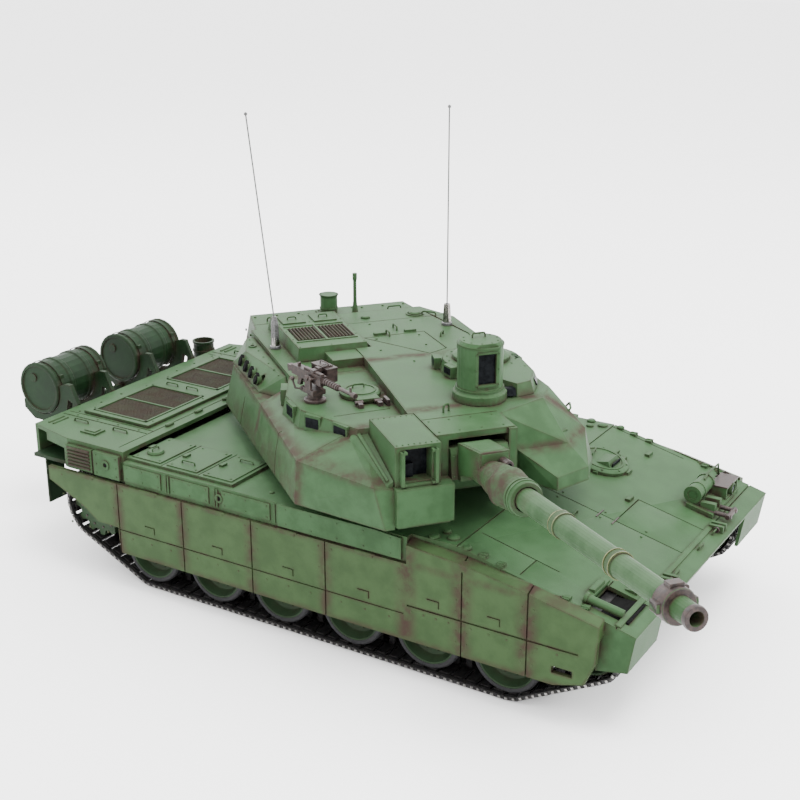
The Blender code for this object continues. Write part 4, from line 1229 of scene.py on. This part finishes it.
def make_roof():
    trim = on_turret("turret_roof_fittings", TURRET_TRIM, 0.2)
    for a, b, c, d in ((23, 58, 23, 66), (14, 47, 14, 54), (46, 35, 50, 41), (52, 88, 60, 82)):
        trim.handle((a, b, ROOF_Z), (c, d, ROOF_Z), UP, 2.6, 0.6)
    trim.handle((-4, -102, ROOF_Z), (0, -100, ROOF_Z), UP, 4.2, 0.65)
    trim.handle((60, -112, 126), (70, -107, 127), (0.3, -0.6, 1), 4.0, 0.7)
    trim.handle((78, -92, 133), (82, -82, 133), (1, 0, 1), 4.0, 0.7)
    trim.bolts((-17, -5, 8, 21), (-113, -130), ROOF_Z, UP, 0.65, 0.35)
    spots = [(-1, 20), (12, -8), (31, 22), (34, 44), (4, 44), (60, 20)]
    spots += [(64, -20), (60, 60), (10, 78), (40, 78)]
    for x, y in spots:
        trim.bolt((x, y, ROOF_Z), UP, 0.8, 0.6)
    trim.box((27, 35), (52.4, 55.4), (146.6, 148.6))
    trim.box((5, 13), (51.4, 54.4), (146.6, 148.6))
    trim.knob("Z", (48, 92), (146.8, 148.2, 149), (4.4, 3.4), 28)
    trim.collar("Z", (48, 92), (146.8, 147.8), (5.4, 6.4), 28)
    trim.knob("Z", (12, 94), (146.8, 148.0, 148.6), (3.2, 2.4), 24)
    trim.rod((60, -60, 148), (64, -60, 151.5), 2.2, 1.7, 16)
    trim.ball((65, -60, 152.6), 2.3)
    trim.box((57, 66), (-40, -28), (146.8, 150.6))
    trim.tube([(69, -50, ROOF_Z), (69.6, -50, 152), (69.6, -38, 152), (69, -38, ROOF_Z)], 0.6)
    trim.bolts((-56, -40, -24, 24, 40, 56), 140, BUSTLE_Z, UP, 0.9, 0.7)
    for x in (-50, 40):
        trim.handle((x, 128, BUSTLE_Z), (x + 10, 128, BUSTLE_Z), UP, 2.4, 0.6)
    trim.box((26, 54), (104, 118), (140.6, 142.8))
    trim.box((29, 51), (106, 116), (142.4, 143.6))
    trim.done()
    brown = on_turret("turret_hatch_hinges", GUNMETAL, 0.2)
    for x in (-41, -29):
        brown.box((x - 1.4, x + 1.4), (-65, -58.6), (140.8, 143.6))
        brown.rod((x - 2.6, -60, 143), (x + 2.6, -60, 143), 1.2, steps=12)
    brown.box((-25.5, -23.5), (-66, -58), (BUSTLE_Z, 145))
    brown.done()


def make_bustle():
    """Stowage on the turret's rear, which the photo hides."""
    trim = on_turret("bustle_fittings", TURRET_TRIM, 0.3)
    for side in (-1, 1):
        for z0, z1 in ((112, 122), (125, 135)):
            x = sorted((side * 8, side * 52))
            trim.hull(
                [(a, 147.2 - (z < 130) * 0.2, z) for a in x for z in (z0, z1)]
                + [(a, 149.8, z) for a in x for z in (z0 + 1, z1 - 1)]
            )
        for x, z in itertools.product((side * 16, side * 44), (117, 130)):
            trim.rod((x, 149.6, z), (x, 151.0, z), 1.3, steps=12)
        for x, z in ((63.6, 134), (63.8, 114)):
            trim.bolts(side * x, (108, 122, 136), z, (side, 0, 0.1), 1.0, 0.8)
        trim.handle((side * 63.4, 116, 127), (side * 63.4, 130, 127), (side, 0, 0), 3.0, 0.7)
        trim.box(sorted((side * 62, side * 66.4)), (104, 112), (116, 130))
    trim.done()


def upright(piece, x, y, z, angle, half, rise, deep):
    """A block that faces an angle round Z: its half width, heights and depths."""
    out = Vector((math.sin(math.radians(angle)), -math.cos(math.radians(angle)), 0))
    across = Vector((-out.y, out.x, 0))
    centre = Vector((x, y, z))
    piece.hull(
        [
            centre + across * u + Vector((0, 0, v)) + out * w
            for u, v, w in itertools.product((-half, half), rise, deep)
        ]
    )


def make_station_windows():
    frames = on_turret("periscope_frames", TURRET_TRIM, 0.2)
    glass = on_turret("periscope_glass", GLASS, 0.08)
    spots = [(-75.2, -42, -86, 6.5), (-69.0, -64.5, -52, 6.0)]
    spots += [(-57.6, -84, -66, 6.5), (-72.5, -12, -106, 6.5)]
    for x, y, angle, half in spots:
        upright(frames, x, y, 136.2, angle, half, (-5.4, 4.7), (-5.6, 3.4))
        upright(glass, x, y, 136.2, angle, half - 1.5, (-3.0, 3.0), (0.4, 3.65))
    spots = [(19, -24, -100), (20.5, -45, -80), (46, -7, 170), (66, -18, 60), (69.5, -40, 90)]
    for x, y, angle in spots:
        upright(frames, x, y, 151.2, angle, 4.6, (-3.8, 3.3), (-4, 0.5))
        upright(glass, x, y, 151.2, angle, 3.6, (-1.8, 2.2), (-1, 0.75))
    glass.hull(
        [(34, -90.8, 148.6), (45, -93.0, 148.6), (34.6, -88.2, 152.4), (45.4, -90.4, 152.4)]
        + [(34, -86, 148.6), (45, -86, 148.6), (45, -86, 152.4), (34, -86, 152.4)]
    )
    glass.hull(
        [(64.4, -80, 148.6), (69.4, -68.5, 148.6), (62.6, -79.4, 152.6), (67.8, -68, 152.6)]
        + [(60, -76, 148.6), (64, -66, 148.6), (60, -76, 152.6), (64, -66, 152.6)]
    )
    frames.done()
    glass.done()


def make_gunner_sight():
    trim = on_turret("gunner_sight_doors", TURRET_TRIM, 0.25)
    for x in (-43.4, -24.0):
        way = 1 if x < -30 else -1
        trim.box((x - 1.0, x + 1.0), (-146.4, -142.5), (124.6, 144.2))
        for z in (124.4, 142.8):
            a = sorted((x, x + way * 2.6))
            trim.box(a, (-146.0, -142.5), (z, z + 1.4))
    trim.box((-44, -23.4), (-145, -142.4), (123.6, 125.2))
    xs = tuple(-45.2 + 3.3 * k for k in range(8))
    trim.bolts(xs, -140.6, 146.75, (0, -0.05, 1), 0.45, 0.3)
    trim.bolts(xs, -99.4, 147.0, UP, 0.45, 0.3)
    trim.box((-47.4, -14.2), (-147.2, -140.5), (101.5, 123.4))
    trim.hull(
        [(-56.6, -94, 137.0), (-47.2, -94, 138.6), (-50.0, -141, 125.0), (-47.2, -141, 126.6)]
        + [(-60, -94, 130), (-47.2, -94, 128), (-54.0, -141, 118), (-47.2, -141, 118)]
    )
    trim.hull(
        [(-53.6, -96, 138.4), (-51.8, -96, 138.7), (-50.6, -139, 126.6), (-49.4, -139, 127.0)]
        + [(-53.6, -96, 136), (-51.8, -96, 136), (-50.6, -139, 124), (-49.4, -139, 124)]
    )
    trim.done()
    glass = on_turret("gunner_sight_window", GLASS, 0.1)
    glass.box((-41.8, -25.7), (-134.4, -131.2), (125.6, 144.6))
    glass.box((-41.4, -34.6), (-137, -133), (126.2, 134))
    glass.done()
    lens = on_turret("gunner_sight_lens", LAMP, 0.1)
    lens.rod((-31, -134.0, 139), (-31, -133.2, 139), 1.5, steps=20)
    lens.done()
    trough = on_turret("sight_trough", TURRET_TRIM, 0.2)
    for k in range(7):
        share = k / 6
        y = -96 - 40 * share
        z = 134.6 - 9.5 * share
        x = -53.6 + 3.4 * share
        trough.bolt((x, y, z), (-0.35, 0, 1), 0.7, 0.5)
    trough.done()


def make_vents():
    trim = on_turret("vent_fittings", TURRET_TRIM, 0.2)
    trim.bolts((-51, -30, -8), (34, 52, 70, 88, 106), 149.95, UP, 0.55, 0.4)
    for y in (44, 79):
        trim.box((-50.5, -9), (y, y + 1.2), (149.6, 150.6))
    trim.box((-30.4, -29.2), (45, 79), (149.6, 150.6))
    for x in (-49, -27):
        trim.box((x, x + 16), (86, 103), (149.6, 150.9))
        trim.handle((x + 5, 94, 150.6), (x + 11, 94, 150.6), UP, 2.0, 0.5)
    trim.done()
    dark = on_turret("vent_slots", SHADOW, 0)
    for x0 in (-49, -28):
        dark.box((x0 - 0.5, x0 + 17.7), (47.4, 76.6), (148.3, 148.6))
    dark.done()
    slats = on_turret("vent_slats", MESH_PAINT, 0.1)
    for x0 in (-49, -28):
        for k in range(8):
            x = x0 + 2.3 * k + 1.15
            slats.box((x, x + 1.0), (48, 76), (149.6, 150.5), ("Y", 25))
    slats.done()


MOUTH = [(-2.6, 4.6), (-1.6, 7.8), (1.4, 8.8), (2.8, 6.6), (2.0, 3.0), (-1.0, 1.8)]


def make_launchers(side, word):
    inner = 66 if side < 0 else 72.3
    rim = on_turret(f"smoke_tubes_{word}", TURRET_TRIM, 0.12, side)
    dark = on_turret(f"smoke_tube_insides_{word}", SHADOW, 0, side)
    for y in (73, 60, 47, 33):
        outer, root = Vector((82.6, y, 132)), Vector((inner + 6.5, y + 2, 130.6))
        way = (outer - root).normalized()
        tip = outer - way * (1.2 if y < 70 else 0.6)
        ringed(rim, tip - way * 3, tip, 3.4, 2.6)
        dark.rod(tip - way * 3.4, tip - way * 1.0, 2.6, steps=20)
        face = [Vector((84.35 - 0.42 * h, y + w, 127.4 + h)) for w, h in MOUTH]
        if side < 0:
            face = [v - Vector((0.022 * (58 - y), 0, 0)) for v in face]
        dark.hull(
            [v + Vector((0.25, 0, 0.1)) for v in face] + [v - Vector((1.5, 0, 0.6)) for v in face]
        )
    rim.bolts(inner + 4, (18, 30, 44, 58, 72, 88, 98), 138, UP, 0.6, 0.5)
    rim.collar("Z", (inner + 5.5, 83), (137.8, 138.8), (1.4, 2.8), 20)
    dark.rod((inner + 5.5, 83, 137.8), (inner + 5.5, 83, 138.3), 1.5, steps=16)
    rim.done()
    dark.done()


def ringed(piece, start, end, outer, inner, steps=24):
    """A short pipe from one point to another."""
    start, end = Vector(start), Vector(end)
    turn = (end - start).to_track_quat("Z", "Y").to_matrix().to_4x4()
    shape = bmesh.new()
    rings = []
    length = (end - start).length
    for h, r in ((0, outer), (length, outer), (length, inner), (0, inner)):
        rings.append([shape.verts.new((*spot, h)) for spot in circle(steps, r)])
    for i in range(4):
        one, two = rings[i], rings[(i + 1) % 4]
        for k in range(steps):
            shape.faces.new((one[k], one[(k + 1) % steps], two[(k + 1) % steps], two[k]))
    bmesh.ops.transform(shape, matrix=Matrix.Translation(start) @ turn, verts=shape.verts)
    piece.join(shape)


def make_aerials():
    for word, x, y, foot in (("right", -60, 65, BUSTLE_Z), ("left", 60, 60, ROOF_Z)):
        base = on_turret(f"aerial_collar_{word}", TURRET_TRIM, 0.15)
        profile = [(0, 0), (0, 3.3), (1.2, 3.5), (2.2, 3.0), (2.2, 0)]
        base.lathe([(foot + h, r) for h, r in profile], "Z", (x, y), 24)
        base.done()
        sleeve = on_turret(f"aerial_sleeve_{word}", CHROME, 0.1)
        profile = [(2, 0), (2, 2.95), (9, 2.6), (15, 2.15), (15, 0)]
        sleeve.lathe([(foot + h, r) for h, r in profile], "Z", (x, y), 28)
        sleeve.done()


def make_mast():
    trim = on_turret("sensor_mast_fittings", TURRET_TRIM, 0.15)
    trim.lathe(ring([(155.2, 6.2), (156.2, 7.0), (156.4, 7.0), (156.4, 6.0)]), "Z", (-4, 130), 32)
    trim.collar("Z", (-4, 130), (146, 147), (6.0, 6.6), 32)
    for x, y in ((-10, 114), (15, 136), (-10, 136), (15, 124)):
        trim.bolt((x, y, 142.8), UP, 0.8, 0.6)
    trim.done()
    dark = on_turret("sensor_can_mouth", SHADOW, 0)
    dark.rod((-4, 130, 156.2), (-4, 130, 156.38), 5.4, steps=28)
    dark.done()


def make_commander():
    trim = Piece("commander_hatch_fittings", "commander_hatch", TURRET, TURRET_TRIM, 0.2)
    trim.collar("Z", CUPOLA, (156.4, 157.6), (15.2, 16.4), 40)
    trim.handle((40, -44, 158), (52, -44, 158), UP, 2.6, 0.55)
    for x, y in circle(6, 12, CUPOLA):
        trim.bolt((x, y, 158.1), UP, 0.8, 0.5)
    trim.done()
    station = on_turret("cupola_fittings", TURRET_TRIM, 0.2)
    for x, y in circle(14, 21.3, CUPOLA):
        station.bolt((x, y, 154.4), UP, 0.7, 0.5)
    for x in (41, 51):
        station.box((x - 1.4, x + 1.4), (-17.4, -12.6), (154.2, 158))
    station.done()
    head = Piece("commander_sight_trim", "commander_sight", SIGHT_PIVOT, TURRET_TRIM, 0.2)
    head.collar("Z", (0, 0), (153.8, 155.0), (13.2, 14.3), 48)
    head.collar("Z", (0, 0), (180.2, 181.2), (13.2, 13.8), 48)
    for x, y in circle(10, 10.2):
        head.bolt((x, y, 182.9), UP, 0.6, 0.45)
    for x, y in circle(10, 15.2):
        head.bolt((x, y, 152), UP, 0.6, 0.4)
    head.bolts((-7.0, 7.0), -11.2, (158.5, 167.5, 177), (0, -1, 0), 0.5, 0.5)
    for z in (157.2, 177):
        head.box((-6.2, 6.2), (-12.0, -11.0), (z, z + 1.2))
    head.handle((-4, 3, 183), (4, 3, 183), UP, 2.6, 0.55)
    head.done()
    glass = Piece("commander_sight_window", "commander_sight", SIGHT_PIVOT, GLASS, 0.1)
    glass.box((-5.4, 5.4), (-9.4, -8.4), (158.6, 176.9))
    glass.done()


def make_gunner_hatch():
    trim = Piece("gunner_hatch_fittings", "gunner_hatch", TURRET, TURRET_TRIM, 0.2)
    trim.collar("Z", (-34.5, -41.5), (144, 144.9), (8.6, 9.6), 36)
    trim.handle((-38, -38, 144.2), (-31, -38, 144.2), UP, 2.4, 0.5)
    trim.done()


def make_mg():
    def at(z=0.0):
        return MG_MOUNT @ Matrix.Translation((0, 0, z))

    gun = Piece("machine_gun_fittings", "machine_gun", at(156), GUNMETAL, 0.12)
    for k in range(7):
        gun.collar("Y", (0, 0.2), (-25 + k * 2.4, -24 + k * 2.4), (1.5, 2.1), 16)
    gun.collar("Y", (0, 0.2), (-43, -39.5), (0.7, 1.7), 16)
    gun.box((-1.1, 1.1), (-9, 10), (2.6, 4.0))
    gun.box((-0.5, 0.5), (-38.4, -37.2), (1.2, 4.0))
    gun.box((-0.9, 0.9), (16, 17.4), (2.6, 4.8))
    grip = ((12, -2.6), (16, -2.6), (15, -9), (18.4, -9))
    gun.hull([(x, y, z) for x in (-1.1, 1.1) for y, z in grip])
    gun.tube([(0, 6.5, -2.6), (0, 6.5, -5.6), (0, 9, -6.6), (0, 12.6, -5.4)], 0.5)
    stock = ((22, 1.6), (22, -2), (28, 1.0), (28, -3.4))
    gun.hull([(x, y, z) for x in (-1.3, 1.3) for y, z in stock])
    gun.rod((-2.2, -4, 0.5), (-5.4, -4, 0.5), 0.7, steps=10)
    gun.ball((-5.6, -4, 0.5), 1.0)
    for k in range(5):
        gun.box((4.6 + k * 1.5, 5.6 + k * 1.5), (-1.9, 2.9), (4.8 - k * 0.05, 5.9 - k * 0.05))
    gun.box((5.3, 13.2), (-5.3, 12.3), (3.9, 4.9))
    gun.handle((9.3, -1, 4.8), (9.3, 8, 4.8), UP, 1.8, 0.4)
    gun.done()
    cradle = Piece("mg_cradle_fittings", "mg_cradle", at(), GUNMETAL, 0.12)
    cradle.knob("Z", (0, 0), (141.4, 142.6, 143.4), (6.6, 5.2), 28)
    cradle.rod((-5.6, 1, 156), (-3.4, 1, 156), 1.6, steps=14)
    cradle.rod((3.6, 1, 156), (5.4, 1, 156), 1.6, steps=14)
    cradle.tube([(-4.4, 7, 147.6), (-7.4, 10, 148), (-8.0, 12, 153)], 0.7)
    cradle.ball((-8.0, 12, 153.6), 1.4)
    cradle.done()


def make_gun():
    mantlet = on_mantlet("mantlet_fittings", TURRET_TRIM, 0.35)
    mantlet.hull(
        [(x, y, 12.6) for x, y in ((-8.4, -43), (7.4, -43), (-5.8, -63.6), (9.2, -63.6))]
        + [(x, y, 13.3) for x, y in ((-7.8, -44), (6.8, -44), (-5.2, -62.6), (8.6, -62.6))]
    )
    mantlet.hull(
        [(x, -65.2, z) for x in (-5.6, 9.6) for z in (0.2, 11.8)]
        + [(x, -64, z) for x in (-6.2, 9.8) for z in (-0.6, 12.2)]
    )
    for x, z in ((-11, 4), (19, 4), (-11, -7), (19, -7)):
        mantlet.bolt((x, -37.4, z), (0, -1, 0), 0.8, 0.6)
    for y in (-104.0, -107.0):
        mantlet.collar("Y", (0, 0), (y - 0.9, y + 0.9), (8.8, 9.9), 48)
    mantlet.done()
    cover = on_mantlet("mantlet_cover_folds", SLEEVE_PAINT, 0)
    shape = bmesh.new()
    rings = []
    for i in range(25):
        y = -66.5 - 31.5 * i / 24
        base = 7.9 + 2.2 * math.sin(math.pi * (i / 24) ** 1.7) + 0.9 * i / 24
        row = []
        for k in range(48):
            a = 2 * math.pi * k / 48
            fold = 0.32 * math.sin(5 * a + 0.5 * i) + 0.26 * math.sin(3 * a - 0.9 * i + 1)
            sag = 0.9 * max(0.0, -math.sin(a)) * math.sin(math.pi * i / 24)
            r = base + sag + fold * math.sin(math.pi * i / 24)
            row.append(shape.verts.new((r * math.cos(a), y, r * math.sin(a))))
        rings.append(row)
    for one, two in zip(rings, rings[1:]):
        for k in range(48):
            shape.faces.new((one[k], one[(k + 1) % 48], two[(k + 1) % 48], two[k]))
    shape.faces.new(rings[0])
    shape.faces.new(rings[-1])
    cover.join(shape)
    cover.done()
    coax = on_mantlet("coaxial_tube", GUNMETAL, 0.12)
    coax.lathe(ring([(-74, 1.3), (-74, 2.6), (-64, 2.8), (-64, 1.3)]), "Y", (6.3, 6.9), 24)
    coax.done()
    dark = on_mantlet("gun_openings", SHADOW, 0)
    dark.rod((6.3, -73.4, 6.9), (6.3, -71, 6.9), 1.35, steps=16)
    dark.rod((0, -262, 0), (0, -259, 0), 3.3, steps=24)
    dark.done()
    bands = Piece("barrel_bands", "gun_barrel", GUN, BRASS, 0)
    for middle in (-150.8, -207.0):
        for y in (middle - 2.6, middle + 2.0):
            bands.collar("Y", (0, 0), (y, y + 0.6), (5.6, 6.7), 48)
    bands.done()
    muzzle = Piece("muzzle_collar", "gun_barrel", GUN, GUNMETAL, 0.25)
    outline = [(-259.2, 5.0), (-259.2, 7.7), (-258, 8.3), (-250.6, 8.3), (-249.5, 7.7)]
    muzzle.lathe(ring(outline + [(-249.5, 5.3)]), "Y", (0, 0), 40)
    muzzle.hull([(x, y, z) for x in (-9.6, 9.6) for y in (-257.4, -251.2) for z in (-2.4, 2.4)])
    muzzle.hull([(x, y, z) for x in (-3.4, 3.4) for y in (-257, -251.6) for z in (6.0, 9.6)])
    muzzle.rod((6.0, -254, 5.6), (6.0, -249, 5.6), 1.4, steps=12)
    outline = [(-272, 3.3), (-272, 5.3), (-270.4, 5.6), (-268.8, 5.3), (-268.8, 3.3)]
    muzzle.lathe(ring(outline), "Y", (0, 0), 40)
    muzzle.done()


carve_turret()
make_roof()
make_bustle()
make_station_windows()
make_gunner_sight()
make_vents()
for side, word in sides():
    make_launchers(side, word)
make_aerials()
make_mast()
make_commander()
make_gunner_hatch()
make_mg()
make_gun()


for name, node in NODES.items():
    if not node.hide_render:
        dress(name, FINISHES.get(name, PLAIN_PAINT))
